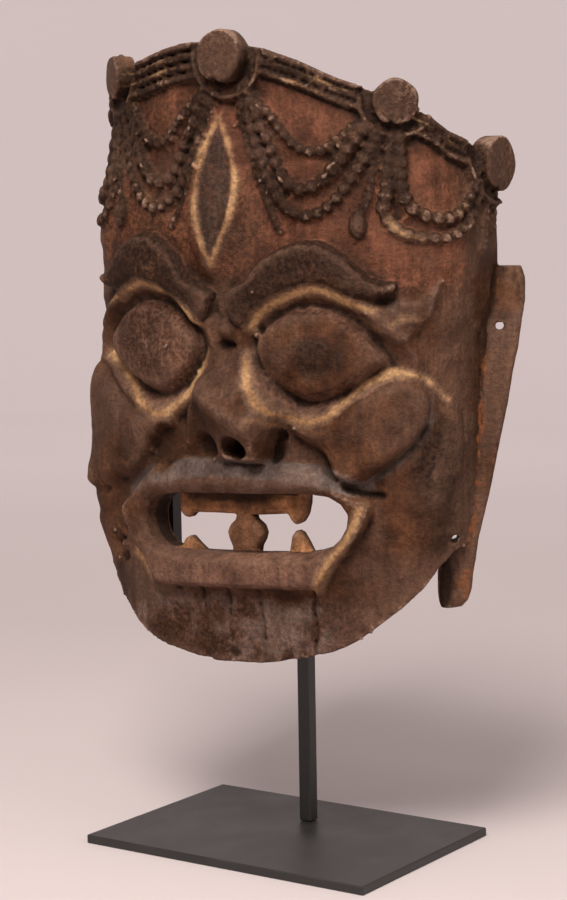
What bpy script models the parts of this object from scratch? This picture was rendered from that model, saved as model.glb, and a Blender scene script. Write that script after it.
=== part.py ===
"""A carved wooden mask of a wrathful guardian, resting on a black steel stand.

The mask is one block of wood, hollowed from behind. Its front is a shell whose plan is the
same rounded arch at every height, and the carving is a relief laid over that arch: crown
band, five discs, bead festoons, third eye, brows, eyes, nose, cheeks and mouth. The stand
is a steel plate, a square post and a yoke whose two arms go up inside the mask to its roof.

Frame: metres, +Z up, the mask faces -Y, origin at the centre of the plate's underside.
"""
import math

import bmesh
import bpy
import numpy as np

# Stand, in metres
BASE_LENGTH = 0.1903
BASE_WIDTH = 0.1333
BASE_THICKNESS = 0.005
BASE_EDGE = 0.0006
POST_SIDE = 0.008
POST_OFFSET = -0.002
POST_SETBACK = 0.0258
BAR_SIDE = 0.008
YOKE_RISE = 0.049
YOKE_SETBACK = 0.0
ARM_CLEARANCE = 0.0194
ARM_BITE = 0.0008
POCKET_DEPTH = 0.05
GAP = 0.0003

# Mask, in metres
CHIN_HEIGHT = 0.105
MASK_HEIGHT = 0.356
MASK_HALF_WIDTH = 0.121
MASK_DEPTH = 0.082
RIM_SETBACK = 0.043
WALL = 0.013
ROOF = 0.014
HOLLOW_FILLET = 0.008
EAR_THICKNESS = 0.008
EAR_REACH = 0.009
TOOTH_THICKNESS = 0.010

# Meshing
GRID_STEP = 0.0021
GRID_HALF_WIDTH = 0.156
GRID_FRONT = 0.080
GRID_HEIGHT = 0.362
MASK_TRIANGLES = 9300

# The carving is written in units of a millimetre on a mask of these sizes, and follows the
# mask's own sizes from there: "across" runs round the arch from the middle line, "up" rises
# from the foot of the chin.
CARVED_HEIGHT = 356.0
CARVED_HALF_ARC = 168.5
ARCH_POWER = 2.6
ARCH_BACK = 40.0
TEETH_FRONT = -37.0

UP_SCALE = MASK_HEIGHT / (CARVED_HEIGHT * 0.001)
SIDE_SCALE = MASK_HALF_WIDTH / 0.121
DEEP_SCALE = MASK_DEPTH / 0.082
MM = 0.001

# How far the carving leans: rise of a level line for each unit across, by height
LEAN_UP = (0, 40, 105, 135, 170, 225, 250, 290, 310, 330, 360)
LEAN = (0.03, 0.045, 0.045, 0.0, -0.03, -0.03, -0.06, -0.075, -0.10, -0.12, -0.12)

# Foot of the jaw by distance across, and top of the crown by angle round the arch
RIM_ACROSS = (0, 14, 29, 46, 60, 68, 76, 86, 99, 110, 119, 128, 140, 200)
RIM_UP = (7, 7, 9, 12, 15, 18, 22, 29, 38.5, 48.5, 60, 68, 72, 74)
TOP_ANGLE = (0, 9.5, 19, 28, 36, 47.6, 52, 60.5, 66, 75, 90)
TOP_UP = (349, 349, 344, 337, 333, 322, 315, 309, 304, 300, 298)
TOP_TILT = -0.30
ROOF_SLOPE = 0.25

# Discs of the crown: distance across, height, radius
DISCS = ((0.0, 342.0, 14.3), (99.0, 324.5, 12.3), (164.0, 293.5, 15.0))
DISC_PROUD = 9.0
DISC_DEPTH = 12.5
DISC_NOTCH = 0.13

BROW = (
    (4, 213), (8, 216), (20, 222), (29, 233), (39, 240), (48, 243.5), (59, 244), (66, 241),
    (73, 236), (79, 229.5), (85, 224), (91, 222), (97, 221.5), (98, 219), (96, 216),
    (91, 213.5), (84, 212.5), (77, 213.5), (70, 216.5), (62, 219.5), (52, 219), (42, 215.5),
    (32, 210.5), (24, 203), (17, 195), (11, 196), (6, 203),
)
EYE = (
    (17, 184), (19, 190), (24, 196), (31, 201.5), (43, 207.5), (55, 209), (66, 207),
    (75, 202.5), (84, 195), (91, 187), (97, 179), (90, 174.5), (80, 168), (70, 161),
    (60, 156.5), (50, 155), (41, 156.5), (32, 161.5), (24, 169), (19, 177),
)
TAIL = (
    (80, 207), (88, 206), (97, 214), (104, 212), (110, 213), (117, 222), (121, 224),
    (119, 213), (115, 203), (109, 196), (103, 190.5), (98, 188), (93, 190), (87, 195),
)
CHEEK = (
    (36, 150), (43, 147), (50, 145.5), (58, 146.5), (65, 150.5), (73, 157), (82, 164),
    (90, 169.5), (98, 172), (106, 170.5), (112, 164), (114, 155), (111, 143), (105, 132),
    (98, 124), (89, 116), (80, 109.5), (73, 109.5), (66, 113), (62, 120), (57, 128),
    (48, 133), (40, 138),
)
CHEEK_LEFT = (
    (36, 148), (45, 146), (56, 147), (68, 149), (80, 153), (90, 160), (98, 168), (108, 172),
    (118, 166), (127, 152), (130, 137), (131, 120), (124, 106), (110, 101), (94, 105),
    (80, 109), (68, 113), (60, 120), (56, 128), (46, 133), (40, 138),
)
JOWL = (
    (97, 174), (105, 173), (112, 170), (119, 163), (125, 157), (131, 146), (134, 130),
    (131, 112), (122, 96), (108, 88), (95, 95), (86, 108), (95, 120), (110, 140), (112, 158),
)
LIP_RING = (
    (-12, 112.5), (20, 112.3), (39, 110), (54, 108), (60, 106.5), (68, 102.5), (75, 98.8),
    (80, 95), (79.5, 90), (75.5, 81.5), (71, 73), (64, 66), (58, 57.5), (54, 50), (30, 50),
    (-12, 50),
)
MOUTH = (
    (-12, 103), (36, 103), (47, 102.5), (56, 101), (63, 97), (66.5, 91), (66, 84),
    (62.5, 78), (57, 73), (47, 70.5), (38, 69.5), (-12, 69),
)
UPPER_TEETH = (
    (-44, 106), (-43.6, 98), (-43.5, 89), (-40.5, 86), (-37.5, 85.4), (-34, 88.7), (-20, 89.3),
    (12, 90), (31, 91.8), (33, 88.5), (35.6, 86), (39, 87.5), (42, 92), (43.5, 98), (44, 106),
)
CENTRE_TOOTH = (
    (-3.7, 92), (6.6, 92), (7.5, 87.5), (12, 84.5), (13.9, 80), (12.8, 76), (10.2, 72),
    (9.4, 66), (-6.6, 66), (-7, 71), (-9.3, 75.5), (-10.4, 79.5), (-8.5, 83.5), (-4.6, 87),
)
LEFT_FANG = (
    (-46, 62), (-43, 68), (-40.5, 73.5), (-37.5, 75.3), (-34, 72), (-30, 69), (-26, 66), (-26, 62),
)
RIGHT_FANG = (
    (31, 64), (32, 72), (33.5, 80), (36, 83), (38.5, 82), (42, 77), (45.3, 71.5), (47, 64),
)
THIRD_EYE = ((-7.5, 231), (-3, 308))
THIRD_EYE_LONG = 77.2
THIRD_EYE_HALF = 12.3

# Bead strings: radius of a bead, then the points that the string hangs through
STRINGS = (
    (3.2, ((15, 324), (22, 317), (29, 311), (36, 302.5), (44, 295.5), (53, 293), (62, 295.5), (70, 302),
           (78, 310))),
    (4.0, ((14, 321), (19, 313), (23, 303.6), (28, 296), (33, 284), (40, 275), (48, 272), (56, 275),
           (64, 283), (72, 295), (82, 308))),
    (3.7, ((11, 319), (15, 310), (19, 296), (26, 280), (33, 269), (41, 261.5), (50, 258), (60, 261.5),
           (69, 270), (77, 283), (85, 296), (90, 306))),
    (2.4, ((8, 318), (10, 309), (17, 290), (27, 266), (36, 249))),
    (2.6, ((90, 304), (88, 289), (86, 280), (84, 269), (81, 262))),
    (3.6, ((97, 306), (95, 290), (94, 275), (92, 264), (95, 257), (101, 251), (113, 248),
           (124, 248.5), (134, 254), (143, 264), (151, 282))),
    (3.7, ((101, 306), (101, 290), (101, 277), (105, 266), (112, 261), (120, 259.5),
           (128, 261), (136, 266), (144, 277), (150, 290))),
    (2.6, ((160, 286), (157, 273), (154, 257), (150, 240))),
    (2.6, ((170, 286), (167, 274), (163, 254))),
)
BEAD_CORD = 0.85
RIDGE_POWER = 0.9
SOFTENING = 4
STRING_SOFTENING = 1
RIDGE_RISE = 2.9
NOSE_SHIFT = 7.5
MOUTH_SHIFT = 5.5
LIP_SHIFT = 3.0
BROW_SHIFT = -3.5
PENDANT_LEAF = (79.0, 254.0, 5.0, 9.0)

# Rear edge of the side walls, by height: it comes forward towards the jaw
REAR_UP = (40, 78, 105, 132, 152, 170, 182, 195, 207, 226)
REAR_SETBACK = (12, 13, 21, 25.5, 28.5, 31, 35, 37, 43, 43)

# Ear: height, then where its root and its outer edge stand in plan
EAR_UP = (40, 44, 50, 60, 67, 78, 105, 132, 152, 170, 182, 195, 207, 219, 226)
EAR_ROOT_X = (108, 106.5, 106, 106, 108, 112, 116, 118, 118, 118, 118, 118, 118, 118, 118)
EAR_ROOT_Y = (7, 7, 7, 7, 7.5, 8, 16.5, 21.5, 24.5, 27, 30.5, 32.5, 40, 45, 46)
EAR_EDGE_X = (110, 114, 116, 117, 118.5, 120, 123.5, 127, 130, 132, 133.5, 134.5, 132.5, 130.5, 127.5)
EAR_EDGE_Y = (12, 12, 12.5, 13, 13, 13.5, 21, 26, 29.5, 32, 35, 37, 45, 49, 50)


def ramp(value, low, high):
    """Rise smoothly from 0 at low to 1 at high."""
    share = np.clip((value - low) / (high - low), 0.0, 1.0)
    return share * share * (3.0 - 2.0 * share)


def dome(share):
    """Quarter-round profile: 0 at the edge of a form, 1 from share 1 inwards."""
    rest = 1.0 - np.clip(share, 0.0, 1.0)
    return np.sqrt(1.0 - rest * rest)


def smooth_max(first, second, blend):
    """Union of two heights with a fillet about as wide as blend."""
    mix = np.clip(0.5 + 0.5 * (first - second) / blend, 0.0, 1.0)
    return first * mix + second * (1.0 - mix) + blend * mix * (1.0 - mix)


def smooth_min(first, second, blend):
    """Union of two distance fields with a fillet about as wide as blend."""
    return -smooth_max(-first, -second, blend)


def soften(points, steps=4):
    """Pass a Catmull-Rom curve through open control points."""
    pts = np.asarray(points, dtype=float)
    pts = np.vstack([2 * pts[0] - pts[1], pts, 2 * pts[-1] - pts[-2]])
    curve = []
    for p0, p1, p2, p3 in zip(pts[:-3], pts[1:-2], pts[2:-1], pts[3:]):
        for step in range(steps):
            t = step / steps
            curve.append(0.5 * (2 * p1 + (p2 - p0) * t + (2 * p0 - 5 * p1 + 4 * p2 - p3) * t * t
                                + (3 * p1 - p0 - 3 * p2 + p3) * t ** 3))
    curve.append(pts[-2])
    return np.array(curve)


def to_line(points, across, up):
    """Distance to an open line, and how far along the line the nearest point lies."""
    pts = np.asarray(points, dtype=float)
    best = np.full(np.shape(across), 1e9)
    along = np.zeros(np.shape(across))
    start = 0.0
    for (ax, ay), (bx, by) in zip(pts[:-1], pts[1:]):
        length = math.hypot(bx - ax, by - ay)
        share = np.clip(((across - ax) * (bx - ax) + (up - ay) * (by - ay)) / length ** 2, 0, 1)
        gap = np.hypot(across - ax - share * (bx - ax), up - ay - share * (by - ay))
        nearer = gap < best
        best = np.where(nearer, gap, best)
        along = np.where(nearer, start + share * length, along)
        start += length
    return best, along


def inside(points, across, up):
    """Distance to a closed outline, positive within it."""
    pts = np.asarray(points, dtype=float)
    closed = np.vstack([pts, pts[:1]])
    gap, _ = to_line(closed, across, up)
    within = np.zeros(np.shape(across), dtype=bool)
    for (ax, ay), (bx, by) in zip(closed[:-1], closed[1:]):
        if ay == by:
            continue
        spans = (up >= min(ay, by)) & (up < max(ay, by))
        crossing = ax + (up - ay) * (bx - ax) / (by - ay)
        within ^= spans & (across < crossing)
    return np.where(within, gap, -gap)


def blur(values, passes):
    """Average each value with its neighbours, a few times over."""
    for _ in range(passes):
        for axis in (0, 1):
            before = np.roll(values, 1, axis)
            after = np.roll(values, -1, axis)
            edge = [slice(None), slice(None)]
            edge[axis] = 0
            before[tuple(edge)] = values[tuple(edge)]
            edge[axis] = -1
            after[tuple(edge)] = values[tuple(edge)]
            values = 0.25 * before + 0.5 * values + 0.25 * after
    return values


def lean(up):
    """Slope of the carving's level lines at a height."""
    return np.interp(up, LEAN_UP, LEAN)


def leaning_height(across, level):
    """Height on the mask of a point whose place in the level carving is given."""
    up = level
    for _ in range(8):
        up = level + lean(up) * across
    return up


def ground_relief(across, up):
    """Broad swellings of the shell, under the carving."""
    crown = -9.0 * ramp(up, 262, 335) * np.interp(
        across, (0, 60, 90, 115, 150, 185), (0, 0.55, 1.0, 0.75, 0.45, 0.3))
    brow = 6.0 * np.exp(-((up - 235) / 32) ** 2) * np.interp(
        across, (0, 60, 115, 150, 180), (0.9, 0.8, 1.0, 0.3, 0))
    jowl = 10.0 * np.interp(across, (60, 95, 115, 140, 165), (0, 0.5, 1, 0.3, 0)) * np.interp(
        up, (30, 60, 80, 110, 135, 160, 195, 215), (0.2, 0.5, 1, 1, 0.9, 0.45, 0.5, 0.2))
    muzzle = 3.0 * np.interp(across, (0, 60, 85), (1, 1, 0)) * ramp(up, 20, 60)
    muzzle *= 1.0 - ramp(up, 110, 130)
    back = -2.0 * ramp(across, 150, 185)
    return crown + brow + jowl + muzzle + back


def left_swell(across_signed, up):
    """The left jowl and the head of the left cheek are fuller than the right."""
    jowl = 3.5 * np.exp(-((across_signed + 118) / 20) ** 2 - ((up - 84) / 24) ** 2)
    head = 3.0 * np.exp(-((across_signed + 115) / 15) ** 2 - ((up - 154) / 13) ** 2)
    return jowl + head


def chin_relief(across, up):
    """The jaw's lower facet, cut back towards its foot."""
    above = up - np.interp(across, RIM_ACROSS, RIM_UP)
    return -8.0 * (1.0 - ramp(above, -4, 24)) * (1.0 - ramp(across, 95, 125))


def eye_relief(height, across, up):
    """A ball that fills a pointed outline, and lids that rise to a crest round it."""
    edge = -inside(EYE, across, up)
    lids = np.interp(edge, (-2, 0, 1.5, 3, 8.5, 11, 17), (-1.5, -1.2, 0.2, 2.0, 6.3, 5.5, 0))
    share = np.clip(-edge / 5.0, 0, 1)
    reach = ((across - 54) / 44) ** 2 + ((up - 182) / 30) ** 2
    ball = -1.2 + 2.2 * np.sin(share * math.pi / 2)
    ball = ball + 11.0 * np.clip(1.0 - reach, 0, 1) ** 0.6 * ramp(-edge, 0, 5.5)
    return height + np.where(edge < 0, ball, lids)


def nose_relief(height, across_signed, up):
    """A flat front cut off by a slanting underside, with steep flanks, wings and nostrils."""
    offset = np.abs(across_signed - NOSE_SHIFT * (1.0 - ramp(up, 182, 204)))
    rise = np.interp(up, (145, 150, 155, 160, 165, 175, 186, 193), (31, 30, 27, 23, 19, 10.5, 3, 0))
    brink = np.clip(154.5 - 0.5 * across_signed, 137, 163)
    brink_rise = np.interp(brink, (145, 150, 155, 160, 165), (31, 30, 27, 23, 19))
    under = brink_rise - 0.5 * (brink - up)
    right = np.interp(up, (117, 138, 150, 160, 175, 186, 193), (19, 20, 24, 18.5, 11.5, 8.5, 5))
    left = np.interp(up, (117, 131, 150, 160, 175, 186, 193), (38, 39, 29, 20, 11.5, 8.5, 5))
    half = np.where(across_signed > NOSE_SHIFT, right, left)
    steep = np.interp(up, (117, 150, 165, 190), (2.4, 2.0, 1.1, 0.8))
    front = np.minimum(rise, under) - 0.8 * np.clip(offset / half, 0, 1) ** 2
    flank = np.minimum(rise, under) - 0.8 - steep * np.clip(offset - half, 0, None)
    nose = np.where(offset < half, front, flank)
    nose = np.where((up > 122) & (up < 193), nose, -20.0)
    height = smooth_max(height, nose, 0.8)
    wing = np.clip(1.0 - ((across_signed - 25.5) / 7.5) ** 2 - ((up - 137) / 10) ** 2, 0, 1)
    height = np.maximum(height, np.where(wing > 0, 16.0 + 7.5 * np.sqrt(wing), -20.0))
    for place, half in ((-12.0, 10.0), (12.5, 8.8)):
        nostril = ((across_signed - place) / half) ** 2 + ((up - 129.5) / 5.8) ** 2
        bored = height - 20.0 * (1.0 - ramp(nostril, 0.65, 1.1))
        height = np.maximum(bored, np.minimum(height, -8.0))
    slot = ((across_signed - 35.5 + 0.25 * (140 - up)) / 4.4) ** 2 + ((up - 130) / 11.5) ** 2
    groove = ((across_signed + 45) / 8.0) ** 2 + ((up - 127) / 11.0) ** 2
    for pit, floor in ((slot, -6.0), (groove, -8.0)):
        height = np.where(pit < 1.3, np.minimum(height, floor + 14.0 * ramp(pit, 0.5, 1.3)), height)
    return height


def mouth_relief(height, across_signed, up):
    """Lips rising from the opening to a crest, with the band of the upper lip over them."""
    across = np.abs(across_signed)
    opening = -inside(MOUTH, np.abs(across_signed - MOUTH_SHIFT), up)
    crest = inside(LIP_RING, np.abs(across_signed - LIP_SHIFT), up)
    share = np.clip(opening / np.maximum(opening + crest, 0.01), 0, 1)
    slope = 3.0 + 6.5 * np.sin(share * math.pi / 2) ** 0.6
    ledge = -1.0 + 9.5 * ramp(opening, -0.5, 3.5)
    low = 1.0 - ramp(up, 68, 76)
    lips = slope * (1.0 - low) + ledge * low * ramp(crest, -0.4, 1.4)
    band = 9.5 - 0.4 * np.clip(-crest, 0, 12)
    over = ramp(up, 92, 104) * (1.0 - ramp(-crest, 9.5, 12.5)) * (1.0 - ramp(across, 62, 92))
    groove = 2.5 * np.exp(-((crest + 1.6) / 1.3) ** 2) * (1.0 - ramp(up, 56, 66))
    above = (band * over - groove) * (1.0 - ramp(crest, -0.4, 0.4))
    ring = np.where(crest > -0.4, lips * ramp(crest, -1.6, 0.2), 0.0)
    return height + np.maximum(above, ring) + np.minimum(above, 0.0) * (ring <= 0)


def third_eye_relief(across, up):
    """Upright almond on a low mound, with a raised rim round a shallow lens."""
    gap, along = to_line(THIRD_EYE, across, up)
    share = np.clip(along / THIRD_EYE_LONG, 0, 1)
    half = THIRD_EYE_HALF * np.sin(math.pi * np.clip(share, 0.01, 0.99)) ** 0.85
    lens = 5.0 - 3.0 * (gap / np.maximum(half, 0.5)) ** 2
    rim = 3.5 + 2.6 * (1.0 - np.clip(np.abs(gap - half) / 2.2, 0, 1) ** 2)
    mound = 4.5 * (1.0 - ramp(gap - half, 3, 14))
    form = np.where(gap < half, np.maximum(lens, rim), np.where(gap < half + 2.2, rim, mound))
    fade = ramp(along, 0, 6) * (1.0 - ramp(along, THIRD_EYE_LONG - 6, THIRD_EYE_LONG))
    return np.maximum(form * fade, mound * (1.0 - ramp(up, 305, 325)) * ramp(up, 205, 235))


def crown_relief(height, across_signed, up, below_top):
    """Ridges along the top edge, collars under the discs, and the bead strings."""
    across = np.abs(across_signed)
    reach = 1.0 - ramp(across, 168, 180)
    raised = np.zeros_like(height)
    for right, left in ((2.6, 2.4), (7.8, 8.0), (13.0, 13.6), (-9.0, 19.2)):
        offset = np.where(across_signed > 0, right, left)
        ridge = np.clip(1.0 - ((below_top - offset) / 2.7) ** 2, 0, 1)
        raised = np.maximum(raised, RIDGE_RISE * ridge ** RIDGE_POWER * reach)
    for place, level, radius in DISCS:
        away = np.hypot(across - place, up - level)
        for offset, rise in ((3.2, 5.2), (7.8, 4.4)):
            collar = np.clip(1.0 - ((away - radius - offset) / 2.3) ** 2, 0, 1)
            collar = rise * collar ** RIDGE_POWER * (1.0 - ramp(up, level, level + 5))
            raised = np.where(away < radius + 9.5, np.maximum(0.4 * raised, collar), raised)
    strings = np.zeros_like(height)
    for radius, points in STRINGS:
        gap, along = to_line(soften(points), across, up)
        pitch = 1.8 * radius
        order = np.floor(along / pitch)
        bead = (np.mod(along, pitch) / pitch - 0.5) * pitch
        size = 1.12 * radius * (1.0 + 0.12 * np.sin(order * 12.9 + radius * 7.0))
        ball = np.clip(1.0 - (gap ** 2 + bead ** 2) / size ** 2, 0, 1) ** 0.38
        cord = BEAD_CORD * dome(1.2 - gap / radius) * (gap < 1.2 * radius)
        strings = np.maximum(strings, 1.15 * radius * np.maximum(cord, ball))
    leaf_across, leaf_up, leaf_half, leaf_long = PENDANT_LEAF
    leaf = np.clip(1.0 - ((across - leaf_across) / leaf_half) ** 2
                   - ((up - leaf_up) / leaf_long) ** 2, 0, 1)
    strings = blur(np.maximum(strings, 5.0 * np.sqrt(leaf)), STRING_SOFTENING)
    raised = np.maximum(raised, strings)
    return height + raised


def brow_across(across_signed):
    """Distance across for the brows, whose inner ends stand a little to the left."""
    across = np.abs(across_signed)
    return np.abs(across_signed - BROW_SHIFT * (1.0 - ramp(across, 15, 45)))


def relief(across_signed, up_real, below_top):
    """Height of the whole carving over the plain arch, in carving units."""
    across = np.abs(across_signed)
    up = up_real - lean(up_real) * across_signed
    ground = blur(ground_relief(across, up), 6) + left_swell(across_signed, up)
    height = ground + chin_relief(across, up)
    jowl = inside(JOWL, across, up)
    height = height + 2.5 * ramp(jowl, -3, 5)
    height = eye_relief(height, across, up)
    tail = inside(TAIL, across, up)
    height = height + np.where(across_signed > 0, 3.5, 1.5) * dome(tail / 5.0) * (tail > 0)
    right = inside(soften(CHEEK, 2), across, up)
    left = inside(soften(CHEEK_LEFT, 2), across, up)
    cheek = np.where(across_signed > 0, right, left)
    swell = ground + np.where(across_signed > 0, 11.0, 9.0) * dome(cheek / 10.0)
    height = smooth_max(height, np.where(cheek > 0, swell, -9.0), 1.0)
    crease, _ = to_line(((35, 141), (39, 133), (52, 126), (60, 116), (72, 107.5), (86, 107)),
                        across, up)
    height = height - np.where(across_signed > 0, 4.5, 9.5) * np.exp(-(crease / 3.8) ** 2)
    channel, _ = to_line(((121, 156), (117, 137), (110, 117), (101, 104)), across, up)
    height = height - 3.0 * np.exp(-(channel / 4.0) ** 2)
    height = nose_relief(height, across_signed, up)
    height = mouth_relief(height, across_signed, up)
    lump = ((across_signed - 2) / 8) ** 2 + ((up - 193) / 6.5) ** 2
    height = np.maximum(height, ground + 7.0 * np.sqrt(np.clip(1.0 - lump, 0, 1)))
    slot = ((across_signed - 1) / 8) ** 2 + ((up - 185) / 1.8) ** 2
    height = height - 4.0 * (1.0 - ramp(slot, 0.4, 1.2))
    brow = inside(BROW, brow_across(across_signed), up)
    plate = ground + 4.5 + 5.5 * dome(brow / 5.0)
    height = np.where(brow > 0, np.maximum(height, plate), height)
    height = height + third_eye_relief(across_signed, up_real)
    return ground, crown_relief(blur(height, SOFTENING), across_signed, up, below_top)


class Arch:
    """The plan of the shell: half a superellipse, running straight back at its ends."""

    def __init__(self):
        self.half = MASK_HALF_WIDTH / MM
        self.depth = MASK_DEPTH / MM
        self.back = ARCH_BACK * DEEP_SCALE
        turn = np.linspace(0.0, math.pi / 2, 3000)
        x = self.half * np.sin(turn) ** (2 / ARCH_POWER)
        y = self.back - self.depth * np.cos(turn) ** (2 / ARCH_POWER)
        x = np.append(x, self.half)
        y = np.append(y, self.back + 40.0)
        run = np.concatenate([[0.0], np.cumsum(np.hypot(np.diff(x), np.diff(y)))])
        self.run = np.arange(0.0, run[-1], 0.4)
        self.x = np.interp(self.run, run, x)
        self.y = np.interp(self.run, run, y)
        slope_x = np.gradient(self.x)
        slope_y = np.gradient(self.y)
        size = np.hypot(slope_x, slope_y)
        self.tangent = np.stack([slope_x / size, slope_y / size])
        self.normal = np.stack([slope_y / size, -slope_x / size])
        self.arc_scale = run[-2] / CARVED_HALF_ARC

    def nearest(self, x, y):
        """Signed distance from the arch and signed run along it, for points in plan."""
        flat_x = np.abs(x).ravel()
        flat_y = y.ravel()
        nearest = np.empty(flat_x.size, dtype=int)
        for first in range(0, flat_x.size, 4000):
            part = slice(first, first + 4000)
            gap = (flat_x[part, None] - self.x) ** 2 + (flat_y[part, None] - self.y) ** 2
            nearest[part] = np.argmin(gap, axis=1)
        off_x = flat_x - self.x[nearest]
        off_y = flat_y - self.y[nearest]
        out = off_x * self.normal[0][nearest] + off_y * self.normal[1][nearest]
        run = self.run[nearest] + off_x * self.tangent[0][nearest] + off_y * self.tangent[1][nearest]
        run = np.maximum(run, 0.0) * np.where(x.ravel() < 0, -1.0, 1.0)
        return out.reshape(x.shape), run.reshape(x.shape)

    def point(self, run):
        """Place and outward normal in plan at a signed run."""
        side = -1.0 if run < 0 else 1.0
        place = (side * np.interp(abs(run), self.run, self.x), np.interp(abs(run), self.run, self.y))
        normal = (side * np.interp(abs(run), self.run, self.normal[0]),
                  np.interp(abs(run), self.run, self.normal[1]))
        return np.array(place), np.array(normal)


def top_edge(x, y):
    """Height of the crown's top edge in carving units, by the angle round the arch."""
    angle = np.degrees(np.arctan2(x / SIDE_SCALE, 90.0 - np.minimum(y / DEEP_SCALE, 60.0)))
    return np.interp(np.abs(angle), TOP_ANGLE, TOP_UP) + TOP_TILT * angle


def slab(outline, x, up, y, front, thickness):
    """A flat piece with the given outline, standing across the mouth."""
    middle = front + thickness / 2
    return smooth_max(-inside(outline, x, up)[:, None, :],
                      np.abs(y - middle)[None, :, None] - thickness / 2, 3.5)


def ear_field(x, y, up):
    """A plate that stands out from the side wall and hangs below it as a lobe."""
    root_x = np.interp(up, EAR_UP, EAR_ROOT_X) * SIDE_SCALE
    root_y = np.interp(up, EAR_UP, EAR_ROOT_Y) * DEEP_SCALE
    run_x = np.interp(up, EAR_UP, EAR_EDGE_X) * SIDE_SCALE - root_x
    run_y = np.interp(up, EAR_UP, EAR_EDGE_Y) * DEEP_SCALE - root_y
    off_x = np.abs(x)[:, None, None] - root_x[None, None, :]
    off_y = y[None, :, None] - root_y[None, None, :]
    share = np.clip((off_x * run_x + off_y * run_y) / (run_x ** 2 + run_y ** 2), 0, 1)
    gap = np.hypot(off_x - share * run_x, off_y - share * run_y)
    thick = EAR_THICKNESS / MM / 2
    plate = gap - thick * (1.0 - 0.2 * share)
    return np.maximum(plate, np.maximum(up - EAR_UP[-1], EAR_UP[0] - up)[None, None, :])


def disc_field(arch, place, level, radius, x, y, up):
    """A short round boss standing out square to the arch."""
    height = leaning_height(place, level)
    centre, normal = arch.point(place * arch.arc_scale)
    off_x = (x - centre[0])[:, None, None]
    off_y = (y - centre[1])[None, :, None]
    out = off_x * normal[0] + off_y * normal[1]
    side = off_y * normal[0] - off_x * normal[1]
    rise = (up - height)[None, None, :] * UP_SCALE
    away = np.hypot(side, rise)
    turn = np.arctan2(rise, side) + math.pi / 2 + 0.25
    lobes = 1.0 - DISC_NOTCH * np.exp(-(turn / 0.16) ** 2) - 0.02 * np.cos(5 * turn + place)
    proud = DISC_PROUD * UP_SCALE + ground_relief(abs(place), level) * UP_SCALE
    middle = proud - DISC_DEPTH / 2
    boss = away - radius * UP_SCALE * lobes
    return smooth_max(boss, np.abs(out - middle) - DISC_DEPTH / 2, 1.5)


def mask_field(arch, x, y, z):
    """Distance-like field of the mask in millimetres, negative in the wood."""
    plan_x, plan_y = np.meshgrid(x, y, indexing="ij")
    out, run = arch.nearest(plan_x, plan_y)
    up = z / UP_SCALE

    across = np.arange(-200.0, 200.1, 1.0)
    level_across, level_up = np.meshgrid(across, up, indexing="ij")
    front = np.array([arch.point(value * arch.arc_scale)[0] for value in across])
    edge = top_edge(front[:, 0], front[:, 1])[:, None]
    ground, height = relief(level_across, level_up, edge - level_up)
    opening = inside(MOUTH, np.abs(level_across - MOUTH_SHIFT),
                     level_up - lean(level_up) * level_across)
    foot = np.interp(np.abs(across), RIM_ACROSS, RIM_UP)[:, None] + lean(20.0) * level_across
    foot = foot - level_up

    place = np.clip(run / arch.arc_scale - across[0], 0, across.size - 1.001)
    low = place.astype(int)
    share = (place - low)[:, :, None]

    def spread(table):
        return table[low] * (1.0 - share) + table[low + 1] * share

    out = out[:, :, None]
    solid = out - spread(height) * UP_SCALE
    roof = (top_edge(plan_x, plan_y) * UP_SCALE)[:, :, None] + ROOF_SLOPE * np.minimum(out, 0.0)
    level = z[None, None, :]
    inner = out + WALL / MM - spread(ground) * UP_SCALE
    hollow = smooth_max(inner, level - roof + ROOF / MM, HOLLOW_FILLET / MM)
    solid = np.maximum(solid, level - roof)
    solid = np.maximum(solid, -hollow)
    solid = np.maximum(solid, spread(foot) * UP_SCALE)
    solid = np.maximum(solid, spread(opening) * UP_SCALE)

    front_y = TEETH_FRONT * DEEP_SCALE
    tooth = TOOTH_THICKNESS / MM
    flat_x, flat_up = np.meshgrid(x / SIDE_SCALE, up, indexing="ij")
    for outline in (UPPER_TEETH, CENTRE_TOOTH, LEFT_FANG, RIGHT_FANG):
        solid = np.minimum(solid, slab(outline, flat_x, flat_up, y, front_y, tooth))
    rear = np.interp(up, REAR_UP, REAR_SETBACK) * RIM_SETBACK / MM / REAR_SETBACK[-1]
    solid = np.maximum(solid, y[None, :, None] - rear[None, None, :])
    ear = np.maximum(ear_field(x, y, up), -(out + WALL / MM))
    solid = smooth_min(solid, ear, 2.0)
    for place, level_up, radius in DISCS:
        for side in ((0.0,) if place == 0 else (-1.0, 1.0)):
            disc = disc_field(arch, side * place, level_up, radius, x, y, up)
            solid = np.minimum(solid, disc)
    rim = (y - RIM_SETBACK / MM - EAR_REACH / MM)[None, :, None]
    return np.maximum(solid, rim)


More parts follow.
